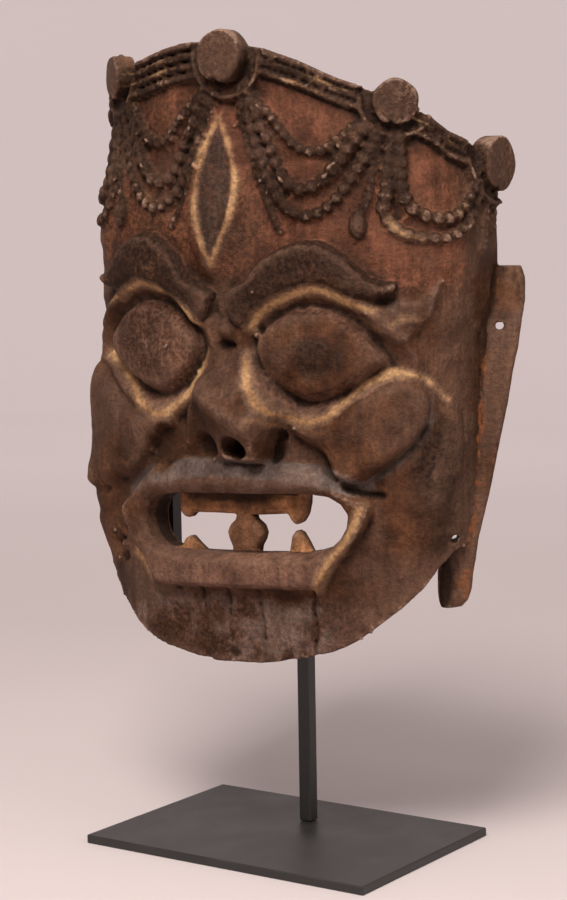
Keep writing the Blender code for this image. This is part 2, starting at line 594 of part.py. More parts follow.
def touching_cases():
    """Which of the 256 corner patterns of a cell would join two sheets at a point."""
    links = [(a, b) for a in range(8) for b in range(a + 1, 8) if bin(a ^ b).count("1") == 1]

    def parts(chosen):
        left = set(chosen)
        count = 0
        while left:
            count += 1
            queue = [left.pop()]
            while queue:
                corner = queue.pop()
                for a, b in links:
                    for here, there in ((a, b), (b, a)):
                        if here == corner and there in left:
                            left.discard(there)
                            queue.append(there)
        return count

    cases = np.zeros(256, dtype=bool)
    faces = []
    for axis in (1, 2, 4):
        others = [bit for bit in (1, 2, 4) if bit != axis]
        for base in (0, axis):
            faces.append((base, base + others[0], base + sum(others), base + others[1]))
    for code in range(256):
        filled = [corner for corner in range(8) if code >> corner & 1]
        empty = [corner for corner in range(8) if not code >> corner & 1]
        crossed = False
        for a, b, c, d in faces:
            values = [code >> corner & 1 for corner in (a, b, c, d)]
            crossed |= values in ([1, 0, 1, 0], [0, 1, 0, 1])
        cases[code] = crossed or parts(filled) > 1 or parts(empty) > 1
    return cases


def cell_corners(field):
    """The field at the eight corners of each cell, in the order of the corner codes."""
    ends = (slice(None, -1), slice(1, None))
    return [field[ends[code & 1], ends[code >> 1 & 1], ends[code >> 2 & 1]] for code in range(8)]


def part_sheets(field, nudge):
    """Fill cells where two sheets would touch, so that the surface stays a manifold."""
    cases = touching_cases()
    for _ in range(12):
        code = np.zeros(tuple(size - 1 for size in field.shape), dtype=np.uint8)
        for bit, corner in enumerate(cell_corners(field)):
            code |= (corner < 0).astype(np.uint8) << bit
        cells = np.argwhere(cases[code])
        if len(cells) == 0:
            break
        for bit in range(8):
            spot = tuple((cells + [bit & 1, bit >> 1 & 1, bit >> 2 & 1]).T)
            field[spot] = np.minimum(field[spot], -nudge)
    return field


def surface_net(field, step, corner):
    """Quads on the zero level of a field: one vertex for each cell that the level crosses."""
    field = part_sheets(field, 0.02 * step)
    code = np.zeros(tuple(size - 1 for size in field.shape), dtype=np.uint8)
    for bit, values in enumerate(cell_corners(field)):
        code |= (values < 0).astype(np.uint8) << bit
    cells = np.argwhere((code > 0) & (code < 255))
    values = np.stack([field[tuple((cells + [bit & 1, bit >> 1 & 1, bit >> 2 & 1]).T)]
                       for bit in range(8)])
    total = np.zeros((len(cells), 3))
    count = np.zeros(len(cells))
    for start in range(8):
        for axis in range(3):
            if start >> axis & 1:
                continue
            first = values[start]
            second = values[start | 1 << axis]
            crossed = (first < 0) != (second < 0)
            share = np.where(crossed, first / np.where(crossed, first - second, 1.0), 0.0)
            spot = np.array([start & 1, start >> 1 & 1, start >> 2 & 1], dtype=float)
            total += np.where(crossed[:, None], spot, 0.0)
            total[:, axis] += share
            count += crossed
    points = (cells + total / count[:, None]) * step + corner
    index = np.full(code.shape, -1)
    index[tuple(cells.T)] = np.arange(len(cells))
    quads = []
    for axis in range(3):
        second, third = (axis + 1) % 3, (axis + 2) % 3
        low = np.moveaxis(field, (axis, second, third), (0, 1, 2))
        grid = np.moveaxis(index, (axis, second, third), (0, 1, 2))
        start = low[:-1, 1:-1, 1:-1] < 0
        end = low[1:, 1:-1, 1:-1] < 0
        for leaving in (True, False):
            i, j, k = np.nonzero((start & ~end) if leaving else (~start & end))
            ring = [grid[i, j, k], grid[i, j + 1, k], grid[i, j + 1, k + 1], grid[i, j, k + 1]]
            quads.append(np.stack(ring if leaving else ring[::-1], axis=1))
    return points, np.concatenate(quads)


def paint(obj, name, colour, roughness, metallic):
    """Give an object its own plain material."""
    material = bpy.data.materials.new(name)
    material.use_nodes = True
    shader = material.node_tree.nodes["Principled BSDF"]
    shader.inputs["Base Color"].default_value = (*colour, 1.0)
    shader.inputs["Roughness"].default_value = roughness
    shader.inputs["Metallic"].default_value = metallic
    obj.data.materials.append(material)


def add_object(name, mesh, parent=None):
    """Link a mesh as an object of the scene."""
    obj = bpy.data.objects.new(name, mesh)
    bpy.context.scene.collection.objects.link(obj)
    obj.parent = parent
    return obj


def add_boxes(name, boxes, parent=None, bevel=0.0):
    """Make one object of boxes, each a pair of opposite corners, welded by unions."""
    work = []
    for low, high in boxes:
        mesh = bpy.data.meshes.new(name)
        shape = bmesh.new()
        bmesh.ops.create_cube(shape, size=1.0)
        for vert in shape.verts:
            for axis in range(3):
                vert.co[axis] = low[axis] if vert.co[axis] < 0 else high[axis]
        shape.to_mesh(mesh)
        shape.free()
        work.append(add_object(name, mesh, parent))
    first = work[0]
    for number, other in enumerate(work[1:], 1):
        other.name = f"{name}_bar_{number}"
        other.hide_render = True
        other.display_type = "WIRE"
        union = first.modifiers.new("weld", "BOOLEAN")
        union.operation = "UNION"
        union.object = other
    if bevel > 0:
        edge = first.modifiers.new("edge", "BEVEL")
        edge.width = bevel
        edge.segments = 1
        edge.limit_method = "ANGLE"
    return first


def roof_underside(arch, x, y):
    """Height in millimetres of the hollow's roof over a point in plan."""
    out, _ = arch.nearest(np.array([[x]]), np.array([[y]]))
    return float(top_edge(x, y) * UP_SCALE + ROOF_SLOPE * out[0, 0] - ROOF / MM)


def arm_spread(arch):
    """Half the distance between the arms, set in from the side walls by their clearance."""
    y = YOKE_SETBACK / MM
    wall = np.interp(y, arch.y, arch.x) * MM - WALL
    return wall - ARM_CLEARANCE - BAR_SIDE / 2


def build_stand(arch, root):
    """Plate, post and yoke."""
    base = add_boxes("stand_base", [(
        (-BASE_LENGTH / 2, -BASE_WIDTH / 2, 0.0),
        (BASE_LENGTH / 2, BASE_WIDTH / 2, BASE_THICKNESS))], root, BASE_EDGE)
    paint(base, "black_steel_plate", (0.020, 0.019, 0.019), 0.55, 0.6)

    half_post = POST_SIDE / 2
    yoke = CHIN_HEIGHT + YOKE_RISE
    half_bar = BAR_SIDE / 2
    post = add_boxes("stand_post", [(
        (POST_OFFSET - half_post, POST_SETBACK - half_post, BASE_THICKNESS + GAP),
        (POST_OFFSET + half_post, POST_SETBACK + half_post, yoke + half_bar))], root, BASE_EDGE)
    paint(post, "black_steel_post", (0.018, 0.017, 0.017), 0.5, 0.6)

    spread = arm_spread(arch)
    bars = [(
        (POST_OFFSET - spread - half_bar, YOKE_SETBACK - half_bar, yoke - half_bar),
        (POST_OFFSET + spread + half_bar, YOKE_SETBACK + half_bar, yoke + half_bar))]
    bars.append((
        (POST_OFFSET - half_bar, YOKE_SETBACK, yoke - half_bar),
        (POST_OFFSET + half_bar, POST_SETBACK - half_post - GAP, yoke + half_bar)))
    pockets = []
    for side in (-1, 1):
        middle = POST_OFFSET + side * spread
        top = CHIN_HEIGHT + MM * roof_underside(arch, side * spread / MM, YOKE_SETBACK / MM)
        top += ARM_BITE
        bars.append((
            (middle - half_bar, YOKE_SETBACK - half_bar, yoke),
            (middle + half_bar, YOKE_SETBACK + half_bar, top)))
        room = half_bar + GAP
        pockets.append((
            (middle - room, YOKE_SETBACK - room, top - POCKET_DEPTH),
            (middle + room, YOKE_SETBACK + room, top + GAP)))
    cradle = add_boxes("stand_yoke", bars, root)
    paint(cradle, "black_steel_yoke", (0.018, 0.017, 0.017), 0.5, 0.6)
    return pockets


def build_mask(arch, root, pockets):
    """The carved wood, with a shallow pocket for the tip of each arm."""
    step = GRID_STEP / MM
    reach = GRID_HALF_WIDTH / MM * SIDE_SCALE
    x = np.arange(-reach, reach + step, step)
    y = np.arange(-GRID_FRONT / MM * DEEP_SCALE, (RIM_SETBACK + EAR_REACH) / MM + 3 * step, step)
    z = np.arange(-2 * step, GRID_HEIGHT / MM * UP_SCALE, step)
    field = mask_field(arch, x, y, z)
    corner = np.array([x[0] + POST_OFFSET / MM, y[0], z[0] + CHIN_HEIGHT / MM])
    points, quads = surface_net(field, step, corner)
    mesh = bpy.data.meshes.new("mask")
    mesh.from_pydata((points * MM).tolist(), [], quads.tolist())
    mask = add_object("mask", mesh, root)
    mesh.shade_smooth()
    paint(mask, "carved_wood", (0.115, 0.062, 0.038), 0.6, 0.0)

    thin = mask.modifiers.new("facets", "DECIMATE")
    thin.ratio = MASK_TRIANGLES / (2 * len(quads))
    thin.use_collapse_triangulate = True
    cutter = add_boxes("arm_pockets", pockets, root)
    cutter.hide_render = True
    cutter.display_type = "WIRE"
    cut = mask.modifiers.new("pockets", "BOOLEAN")
    cut.operation = "DIFFERENCE"
    cut.object = cutter


def main():
    for obj in list(bpy.data.objects):
        bpy.data.objects.remove(obj, do_unlink=True)
    root = bpy.data.objects.new("mask_on_stand", None)
    bpy.context.scene.collection.objects.link(root)
    arch = Arch()
    pockets = build_stand(arch, root)
    build_mask(arch, root, pockets)


main()
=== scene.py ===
"""Looks of the carved guardian mask on its stand: a finer carving in place of the mask's solid,
worn layered paint over old wood with painted shade and highlights, black steel, and a pale studio."""
import math

import bmesh
import bpy
import numpy as np
from mathutils import Matrix, Vector


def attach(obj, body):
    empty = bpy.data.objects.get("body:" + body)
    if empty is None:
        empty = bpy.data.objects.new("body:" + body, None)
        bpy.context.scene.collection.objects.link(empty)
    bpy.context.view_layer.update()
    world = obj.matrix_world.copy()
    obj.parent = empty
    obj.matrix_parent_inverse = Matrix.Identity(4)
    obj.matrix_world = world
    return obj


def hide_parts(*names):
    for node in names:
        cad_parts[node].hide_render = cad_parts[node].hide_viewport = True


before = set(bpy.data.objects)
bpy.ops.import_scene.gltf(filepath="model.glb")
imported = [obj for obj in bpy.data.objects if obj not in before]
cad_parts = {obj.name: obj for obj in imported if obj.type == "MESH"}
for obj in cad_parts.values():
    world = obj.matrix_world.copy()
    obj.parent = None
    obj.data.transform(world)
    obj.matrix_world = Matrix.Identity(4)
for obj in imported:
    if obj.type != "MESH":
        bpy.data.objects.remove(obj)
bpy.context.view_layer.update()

# Where the mask's middle stands along the plate's length, in metres
POST_OFFSET = -0.002

# Mask, in metres
CHIN_HEIGHT = 0.105
MASK_HEIGHT = 0.356
MASK_HALF_WIDTH = 0.121
MASK_DEPTH = 0.082
RIM_SETBACK = 0.043
WALL = 0.013
ROOF = 0.014
HOLLOW_FILLET = 0.008
EAR_THICKNESS = 0.008
EAR_REACH = 0.009
TOOTH_THICKNESS = 0.010

# Extent of the grid that the mask is meshed on, in metres
GRID_HALF_WIDTH = 0.156
GRID_FRONT = 0.080
GRID_HEIGHT = 0.362

# The carving is written in units of a millimetre on a mask of these sizes, which are in metres,
# and follows the mask's own sizes from there: "across" runs round the arch from the middle
# line, "up" rises from a level just below the foot of the chin.
CARVED_HEIGHT = 0.356
CARVED_HALF_WIDTH = 0.121
CARVED_DEPTH = 0.082
MM = 0.001

# Plan of the arch, and the front of the teeth, in the carving's units
CARVED_HALF_ARC = 168.5
ARCH_POWER = 2.6
ARCH_BACK = 40.0
TEETH_FRONT = -37.0

UP_SCALE = MASK_HEIGHT / CARVED_HEIGHT
SIDE_SCALE = MASK_HALF_WIDTH / CARVED_HALF_WIDTH
DEEP_SCALE = MASK_DEPTH / CARVED_DEPTH

# The front is unrolled on to a table, this far to either side, with a row at each step
FRONT_REACH = 200.0
FRONT_STEP = 0.5

# What a line's map reads well away from the line
OFF_LINE = -9.0

# How far the carving leans: rise of a level line for each unit across, by height
LEAN_UP = (0, 40, 105, 135, 170, 225, 250, 290, 310, 330, 360)
LEAN = (0.03, 0.045, 0.045, 0.0, -0.03, -0.03, -0.06, -0.075, -0.10, -0.12, -0.12)

# Foot of the jaw by distance across, and top of the crown by angle round the arch
RIM_ACROSS = (0, 14, 29, 46, 60, 68, 76, 86, 99, 110, 119, 128, 140, 200)
RIM_UP = (7, 7, 9, 12, 15, 18, 22, 29, 38.5, 48.5, 60, 68, 72, 74)
TOP_ANGLE = (0, 9.5, 19, 28, 36, 47.6, 52, 60.5, 66, 75, 90)
TOP_UP = (349, 349, 344, 337, 333, 322, 315, 309, 304, 300, 298)
TOP_TILT = -0.30
ROOF_SLOPE = 0.25

# Discs of the crown: distance across, height, radius
DISCS = ((0.0, 342.0, 14.3), (99.0, 324.5, 12.3), (164.0, 293.5, 15.0))
DISC_PROUD = 9.0
DISC_DEPTH = 12.5
DISC_NOTCH = 0.13

BROW = (
    (4, 213), (8, 216), (20, 222), (29, 233), (39, 240), (48, 243.5), (59, 244), (66, 241),
    (73, 236), (79, 229.5), (85, 224), (91, 222), (97, 221.5), (98, 219), (96, 216),
    (91, 213.5), (84, 212.5), (77, 213.5), (70, 216.5), (62, 219.5), (52, 219), (42, 215.5),
    (32, 210.5), (24, 203), (17, 195), (11, 196), (6, 203),
)
EYE = (
    (17, 184), (19, 190), (24, 196), (31, 201.5), (43, 207.5), (55, 209), (66, 207),
    (75, 202.5), (84, 195), (91, 187), (97, 179), (90, 174.5), (80, 168), (70, 161),
    (60, 156.5), (50, 155), (41, 156.5), (32, 161.5), (24, 169), (19, 177),
)
TAIL = (
    (80, 207), (88, 206), (97, 214), (104, 212), (110, 213), (117, 222), (121, 224),
    (119, 213), (115, 203), (109, 196), (103, 190.5), (98, 188), (93, 190), (87, 195),
)
CHEEK = (
    (36, 150), (43, 147), (50, 145.5), (58, 146.5), (65, 150.5), (73, 157), (82, 164),
    (90, 169.5), (98, 172), (106, 170.5), (112, 164), (114, 155), (111, 143), (105, 132),
    (98, 124), (89, 116), (80, 109.5), (73, 109.5), (66, 113), (62, 120), (57, 128),
    (48, 133), (40, 138),
)
CHEEK_LEFT = (
    (36, 148), (45, 146), (56, 147), (68, 149), (80, 153), (90, 160), (98, 168), (108, 172),
    (118, 166), (127, 152), (130, 137), (131, 120), (124, 106), (110, 101), (94, 105),
    (80, 109), (68, 113), (60, 120), (56, 128), (46, 133), (40, 138),
)
JOWL = (
    (97, 174), (105, 173), (112, 170), (119, 163), (125, 157), (131, 146), (134, 130),
    (131, 112), (122, 96), (108, 88), (95, 95), (86, 108), (95, 120), (110, 140), (112, 158),
)
LIP_RING = (
    (-12, 112.5), (20, 112.3), (39, 110), (54, 108), (60, 106.5), (68, 102.5), (75, 98.8),
    (80, 95), (79.5, 90), (75.5, 81.5), (71, 73), (64, 66), (58, 57.5), (54, 50), (30, 50),
    (-12, 50),
)
MOUTH = (
    (-12, 103), (36, 103), (47, 102.5), (56, 101), (63, 97), (66.5, 91), (66, 84),
    (62.5, 78), (57, 73), (47, 70.5), (38, 69.5), (-12, 69),
)
UPPER_TEETH = (
    (-44, 106), (-43.6, 98), (-43.5, 89), (-40.5, 86), (-37.5, 85.4), (-34, 88.7), (-20, 89.3),
    (12, 90), (31, 91.8), (33, 88.5), (35.6, 86), (39, 87.5), (42, 92), (43.5, 98), (44, 106),
)
CENTRE_TOOTH = (
    (-3.7, 92), (6.6, 92), (7.5, 87.5), (12, 84.5), (13.9, 80), (12.8, 76), (10.2, 72),
    (9.4, 66), (-6.6, 66), (-7, 71), (-9.3, 75.5), (-10.4, 79.5), (-8.5, 83.5), (-4.6, 87),
)
LEFT_FANG = (
    (-46, 62), (-43, 68), (-40.5, 73.5), (-37.5, 75.3), (-34, 72), (-30, 69), (-26, 66), (-26, 62),
)
RIGHT_FANG = (
    (31, 64), (32, 72), (33.5, 80), (36, 83), (38.5, 82), (42, 77), (45.3, 71.5), (47, 64),
)
THIRD_EYE = ((-7.5, 231), (-3, 308))
THIRD_EYE_LONG = 77.2
THIRD_EYE_HALF = 12.3

# Bead strings: radius of a bead, then the points that the string hangs through
STRINGS = (
    (3.2, ((15, 324), (22, 317), (29, 311), (36, 302.5), (44, 295.5), (53, 293), (62, 295.5),
           (70, 302), (78, 310))),
    (4.0, ((14, 321), (19, 313), (23, 303.6), (28, 296), (33, 284), (40, 275), (48, 272), (56, 275),
           (64, 283), (72, 295), (82, 308))),
    (3.7, ((11, 319), (15, 310), (19, 296), (26, 280), (33, 269), (41, 261.5), (50, 258), (60, 261.5),
           (69, 270), (77, 283), (85, 296), (90, 306))),
    (2.4, ((8, 318), (10, 309), (17, 290), (27, 266), (36, 249))),
    (2.6, ((90, 304), (88, 289), (86, 280), (84, 269), (81, 262))),
    (3.6, ((97, 306), (95, 290), (94, 275), (92, 264), (95, 257), (101, 251), (113, 248),
           (124, 248.5), (134, 254), (143, 264), (151, 282))),
    (3.7, ((101, 306), (101, 290), (101, 277), (105, 266), (112, 261), (120, 259.5),
           (128, 261), (136, 266), (144, 277), (150, 290))),
    (2.6, ((160, 286), (157, 273), (154, 257), (150, 240))),
    (2.6, ((170, 286), (167, 274), (163, 254))),
)
BEAD_CORD = 0.25
PENDANT_LEAF = (79.0, 254.0, 5.0, 9.0)

# Ridges of the crown, and how many times the carving's grid is softened
RIDGE_POWER = 0.4
RIDGE_RISE = 4.2
SOFTENING = 2

# How far the middle of a form stands to the right of the middle line
NOSE_SHIFT = 7.5
MOUTH_SHIFT = 5.5
LIP_SHIFT = 3.0
BROW_SHIFT = -3.5

# Rear edge of the side walls, by height: it comes forward towards the jaw
REAR_UP = (40, 78, 105, 132, 152, 170, 182, 195, 207, 226)
REAR_SETBACK = (12, 13, 21, 25.5, 28.5, 31, 35, 37, 43, 43)

# Ear: height, then where its root and its outer edge stand in plan
EAR_UP = (40, 44, 50, 60, 67, 78, 105, 132, 152, 170, 182, 195, 207, 219, 226)
EAR_ROOT_X = (108, 106.5, 106, 106, 108, 112, 116, 118, 118, 118, 118, 118, 118, 118, 118)
EAR_ROOT_Y = (7, 7, 7, 7, 7.5, 8, 16.5, 21.5, 24.5, 27, 30.5, 32.5, 40, 45, 46)
EAR_EDGE_X = (110, 114, 116, 117, 118.5, 120, 123.5, 127, 130, 132, 133.5, 134.5, 132.5, 130.5,
              127.5)
EAR_EDGE_Y = (12, 12, 12.5, 13, 13, 13.5, 21, 26, 29.5, 32, 35, 37, 45, 49, 50)


def ramp(value, low, high):
    """Rise smoothly from 0 at low to 1 at high."""
    share = np.clip((value - low) / (high - low), 0.0, 1.0)
    return share * share * (3.0 - 2.0 * share)


def dome(share):
    """Quarter-round profile: 0 at the edge of a form, 1 from share 1 inwards."""
    rest = 1.0 - np.clip(share, 0.0, 1.0)
    return np.sqrt(1.0 - rest * rest)


def smooth_max(first, second, blend):
    """Union of two heights with a fillet about as wide as blend."""
    mix = np.clip(0.5 + 0.5 * (first - second) / blend, 0.0, 1.0)
    return first * mix + second * (1.0 - mix) + blend * mix * (1.0 - mix)


def smooth_min(first, second, blend):
    """Union of two distance fields with a fillet about as wide as blend."""
    return -smooth_max(-first, -second, blend)


def most(field, *others):
    """The greatest of several fields at each place."""
    for other in others:
        field = np.maximum(field, other)
    return field


def oval(across, up, middle, reach):
    """Square of the distance from an oval's middle, which is 1 at its edge."""
    return ((across - middle[0]) / reach[0]) ** 2 + ((up - middle[1]) / reach[1]) ** 2


def between(table, i, j, u, v):
    """Value between four neighbours of a table: u past row i and v past column j."""
    low = table[i, j] * (1 - v) + table[i, j + 1] * v
    high = table[i + 1, j] * (1 - v) + table[i + 1, j + 1] * v
    return low * (1 - u) + high * u


def soften(points, steps=4):
    """Pass a Catmull-Rom curve through open control points."""
    pts = np.asarray(points, dtype=float)
    pts = np.vstack([2 * pts[0] - pts[1], pts, 2 * pts[-1] - pts[-2]])
    curve = []
    for p0, p1, p2, p3 in zip(pts[:-3], pts[1:-2], pts[2:-1], pts[3:]):
        for step in range(steps):
            t = step / steps
            curve.append(0.5 * (2 * p1 + (p2 - p0) * t + (2 * p0 - 5 * p1 + 4 * p2 - p3) * t * t
                                + (3 * p1 - p0 - 3 * p2 + p3) * t ** 3))
    curve.append(pts[-2])
    return np.array(curve)


def to_line(points, across, up):
    """Distance to an open line, and how far along the line the nearest point lies."""
    pts = np.asarray(points, dtype=float)
    best = np.full(np.shape(across), 1e9)
    along = np.zeros(np.shape(across))
    start = 0.0
    for (ax, ay), (bx, by) in zip(pts[:-1], pts[1:]):
        length = math.hypot(bx - ax, by - ay)
        share = np.clip(((across - ax) * (bx - ax) + (up - ay) * (by - ay)) / length ** 2, 0, 1)
        gap = np.hypot(across - ax - share * (bx - ax), up - ay - share * (by - ay))
        nearer = gap < best
        best = np.where(nearer, gap, best)
        along = np.where(nearer, start + share * length, along)
        start += length
    return best, along


def inside(points, across, up):
    """Distance to a closed outline, positive within it."""
    pts = np.asarray(points, dtype=float)
    closed = np.vstack([pts, pts[:1]])
    gap, _ = to_line(closed, across, up)
    within = np.zeros(np.shape(across), dtype=bool)
    for (ax, ay), (bx, by) in zip(closed[:-1], closed[1:]):
        if ay == by:
            continue
        spans = (up >= min(ay, by)) & (up < max(ay, by))
        crossing = ax + (up - ay) * (bx - ax) / (by - ay)
        within ^= spans & (across < crossing)
    return np.where(within, gap, -gap)


def blur(values, passes):
    """Average each value with its neighbours, a few times over."""
    for _ in range(passes):
        for axis in (0, 1):
            before = np.roll(values, 1, axis)
            after = np.roll(values, -1, axis)
            edge = [slice(None), slice(None)]
            edge[axis] = 0
            before[tuple(edge)] = values[tuple(edge)]
            edge[axis] = -1
            after[tuple(edge)] = values[tuple(edge)]
            values = 0.25 * before + 0.5 * values + 0.25 * after
    return values


def lean(up):
    """Slope of the carving's level lines at a height."""
    return np.interp(up, LEAN_UP, LEAN)


def leaning_height(across, level):
    """Height on the mask of a point whose place in the level carving is given."""
    up = level
    for _ in range(8):
        up = level + lean(up) * across
    return up


def ground_relief(across, up):
    """Broad swellings of the shell, under the carving."""
    crown = -9.0 * ramp(up, 262, 335) * np.interp(
        across, (0, 60, 90, 115, 150, 185), (0, 0.55, 1.0, 0.75, 0.45, 0.3))
    brow = 6.0 * np.exp(-((up - 235) / 32) ** 2) * np.interp(
        across, (0, 60, 115, 150, 180), (0.9, 0.8, 1.0, 0.3, 0))
    jowl = 10.0 * np.interp(across, (60, 95, 115, 140, 165), (0, 0.5, 1, 0.3, 0)) * np.interp(
        up, (30, 60, 80, 110, 135, 160, 195, 215), (0.2, 0.5, 1, 1, 0.9, 0.45, 0.5, 0.2))
    muzzle = 3.0 * np.interp(across, (0, 60, 85), (1, 1, 0)) * ramp(up, 20, 60)
    muzzle *= 1.0 - ramp(up, 110, 130)
    back = -2.0 * ramp(across, 150, 185)
    return crown + brow + jowl + muzzle + back


def left_swell(across_signed, up):
    """The left jowl and the head of the left cheek are fuller than the right."""
    jowl = 3.5 * np.exp(-oval(across_signed, up, (-118, 84), (20, 24)))
    head = 3.0 * np.exp(-oval(across_signed, up, (-115, 154), (15, 13)))
    return jowl + head


def chin_relief(across, up):
    """The jaw's lower facet, cut back towards its foot."""
    above = up - np.interp(across, RIM_ACROSS, RIM_UP)
    return -8.0 * (1.0 - ramp(above, -4, 24)) * (1.0 - ramp(across, 95, 125))


def eye_relief(height, across, up):
    """A ball that fills a pointed outline, and lids that rise to a crest round it."""
    edge = -inside(EYE, across, up)
    lids = np.interp(edge, (-2, 0, 1.5, 3, 8.5, 11, 17), (-1.5, -1.2, 0.2, 2.0, 6.3, 5.5, 0))
    share = np.clip(-edge / 5.0, 0, 1)
    reach = oval(across, up, (54, 182), (44, 30))
    ball = -1.2 + 2.2 * np.sin(share * math.pi / 2)
    ball = ball + 11.0 * np.clip(1.0 - reach, 0, 1) ** 0.6 * ramp(-edge, 0, 5.5)
    return height + np.where(edge < 0, ball, lids)


def nose_relief(height, across_signed, up):
    """A flat front cut off by a slanting underside, with steep flanks, wings and nostrils."""
    offset = np.abs(across_signed - NOSE_SHIFT * (1.0 - ramp(up, 182, 204)))
    rise = np.interp(up, (145, 150, 155, 160, 165, 175, 186, 193), (31, 30, 27, 23, 19, 10.5, 3, 0))
    brink = np.clip(154.5 - 0.5 * across_signed, 137, 163)
    brink_rise = np.interp(brink, (145, 150, 155, 160, 165), (31, 30, 27, 23, 19))
    under = brink_rise - 0.5 * (brink - up)
    right = np.interp(up, (117, 138, 150, 160, 175, 186, 193), (19, 20, 24, 18.5, 11.5, 8.5, 5))
    left = np.interp(up, (117, 131, 150, 160, 175, 186, 193), (38, 39, 29, 20, 11.5, 8.5, 5))
    half = np.where(across_signed > NOSE_SHIFT, right, left)
    steep = np.interp(up, (117, 150, 165, 190), (2.4, 2.0, 1.1, 0.8))
    front = np.minimum(rise, under) - 0.8 * np.clip(offset / half, 0, 1) ** 2
    flank = np.minimum(rise, under) - 0.8 - steep * np.clip(offset - half, 0, None)
    nose = np.where(offset < half, front, flank)
    nose = np.where((up > 122) & (up < 193), nose, -20.0)
    height = smooth_max(height, nose, 0.8)
    wing = np.clip(1.0 - ((across_signed - 25.5) / 7.5) ** 2 - ((up - 137) / 10) ** 2, 0, 1)
    height = np.maximum(height, np.where(wing > 0, 16.0 + 7.5 * np.sqrt(wing), -20.0))
    for place, half in ((-12.0, 10.0), (12.5, 8.8)):
        nostril = oval(across_signed, up, (place, 129.5), (half, 5.8))
        bored = height - 20.0 * (1.0 - ramp(nostril, 0.65, 1.1))
        height = np.maximum(bored, np.minimum(height, -8.0))
    slot = ((across_signed - 35.5 + 0.25 * (140 - up)) / 4.4) ** 2 + ((up - 130) / 11.5) ** 2
    groove = oval(across_signed, up, (-45, 127), (8.0, 11.0))
    for pit, floor in ((slot, -6.0), (groove, -8.0)):
        height = np.where(pit < 1.3, np.minimum(height, floor + 14.0 * ramp(pit, 0.5, 1.3)), height)
    return height


def mouth_relief(height, across_signed, up):
    """Lips rising from the opening to a crest, with the band of the upper lip over them."""
    across = np.abs(across_signed)
    opening = -inside(MOUTH, np.abs(across_signed - MOUTH_SHIFT), up)
    crest = inside(LIP_RING, np.abs(across_signed - LIP_SHIFT), up)
    share = np.clip(opening / np.maximum(opening + crest, 0.01), 0, 1)
    slope = 3.0 + 6.5 * np.sin(share * math.pi / 2) ** 0.6
    ledge = -1.0 + 9.5 * ramp(opening, -0.5, 3.5)
    low = 1.0 - ramp(up, 68, 76)
    lips = slope * (1.0 - low) + ledge * low * ramp(crest, -0.4, 1.4)
    band = 9.5 - 0.4 * np.clip(-crest, 0, 12)
    over = ramp(up, 92, 104) * (1.0 - ramp(-crest, 9.5, 12.5)) * (1.0 - ramp(across, 62, 92))
    groove = 2.5 * np.exp(-((crest + 1.6) / 1.3) ** 2) * (1.0 - ramp(up, 56, 66))
    above = (band * over - groove) * (1.0 - ramp(crest, -0.4, 0.4))
    ring = np.where(crest > -0.4, lips * ramp(crest, -1.6, 0.2), 0.0)
    return height + np.maximum(above, ring) + np.minimum(above, 0.0) * (ring <= 0)


def third_eye_relief(across, up):
    """Upright almond on a low mound, with a raised rim round a shallow lens."""
    gap, along = to_line(THIRD_EYE, across, up)
    share = np.clip(along / THIRD_EYE_LONG, 0, 1)
    half = THIRD_EYE_HALF * np.sin(math.pi * np.clip(share, 0.01, 0.99)) ** 0.85
    lens = 5.0 - 3.0 * (gap / np.maximum(half, 0.5)) ** 2
    rim = 3.5 + 2.6 * (1.0 - np.clip(np.abs(gap - half) / 2.2, 0, 1) ** 2)
    mound = 4.5 * (1.0 - ramp(gap - half, 3, 14))
    form = np.where(gap < half, np.maximum(lens, rim), np.where(gap < half + 2.2, rim, mound))
    fade = ramp(along, 0, 6) * (1.0 - ramp(along, THIRD_EYE_LONG - 6, THIRD_EYE_LONG))
    return np.maximum(form * fade, mound * (1.0 - ramp(up, 305, 325)) * ramp(up, 205, 235))


def crown_relief(height, across_signed, up, below_top):
    """Ridges along the top edge, collars under the discs, and the bead strings."""
    across = np.abs(across_signed)
    reach = 1.0 - ramp(across, 168, 180)
    raised = np.zeros_like(height)
    for right, left in ((2.6, 2.4), (7.8, 8.0), (13.0, 13.6), (-9.0, 19.2)):
        offset = np.where(across_signed > 0, right, left)
        ridge = np.clip(1.0 - ((below_top - offset) / 2.7) ** 2, 0, 1)
        raised = np.maximum(raised, RIDGE_RISE * ridge ** RIDGE_POWER * reach)
    for place, level, radius in DISCS:
        away = np.hypot(across - place, up - level)
        for offset, rise in ((3.2, 5.2), (7.8, 4.4)):
            collar = np.clip(1.0 - ((away - radius - offset) / 2.3) ** 2, 0, 1)
            collar = rise * collar ** RIDGE_POWER * (1.0 - ramp(up, level, level + 5))
            raised = np.where(away < radius + 9.5, np.maximum(0.4 * raised, collar), raised)
    strings = np.zeros_like(height)
    for radius, points in STRINGS:
        gap, along = to_line(soften(points), across, up)
        pitch = 1.8 * radius
        order = np.floor(along / pitch)
        bead = (np.mod(along, pitch) / pitch - 0.5) * pitch
        size = 1.12 * radius * (1.0 + 0.12 * np.sin(order * 12.9 + radius * 7.0))
        ball = np.clip(1.0 - (gap ** 2 + bead ** 2) / size ** 2, 0, 1) ** 0.38
        cord = BEAD_CORD * dome(1.2 - gap / radius) * (gap < 1.2 * radius)
        strings = np.maximum(strings, 1.15 * radius * np.maximum(cord, ball))
    leaf_across, leaf_up, leaf_half, leaf_long = PENDANT_LEAF
    leaf = np.clip(1.0 - ((across - leaf_across) / leaf_half) ** 2
                   - ((up - leaf_up) / leaf_long) ** 2, 0, 1)
    raised = most(raised, strings, 5.0 * np.sqrt(leaf))
    return height + raised, raised


def brow_across(across_signed):
    """Distance across for the brows, whose inner ends stand a little to the left."""
    across = np.abs(across_signed)
    return np.abs(across_signed - BROW_SHIFT * (1.0 - ramp(across, 15, 45)))


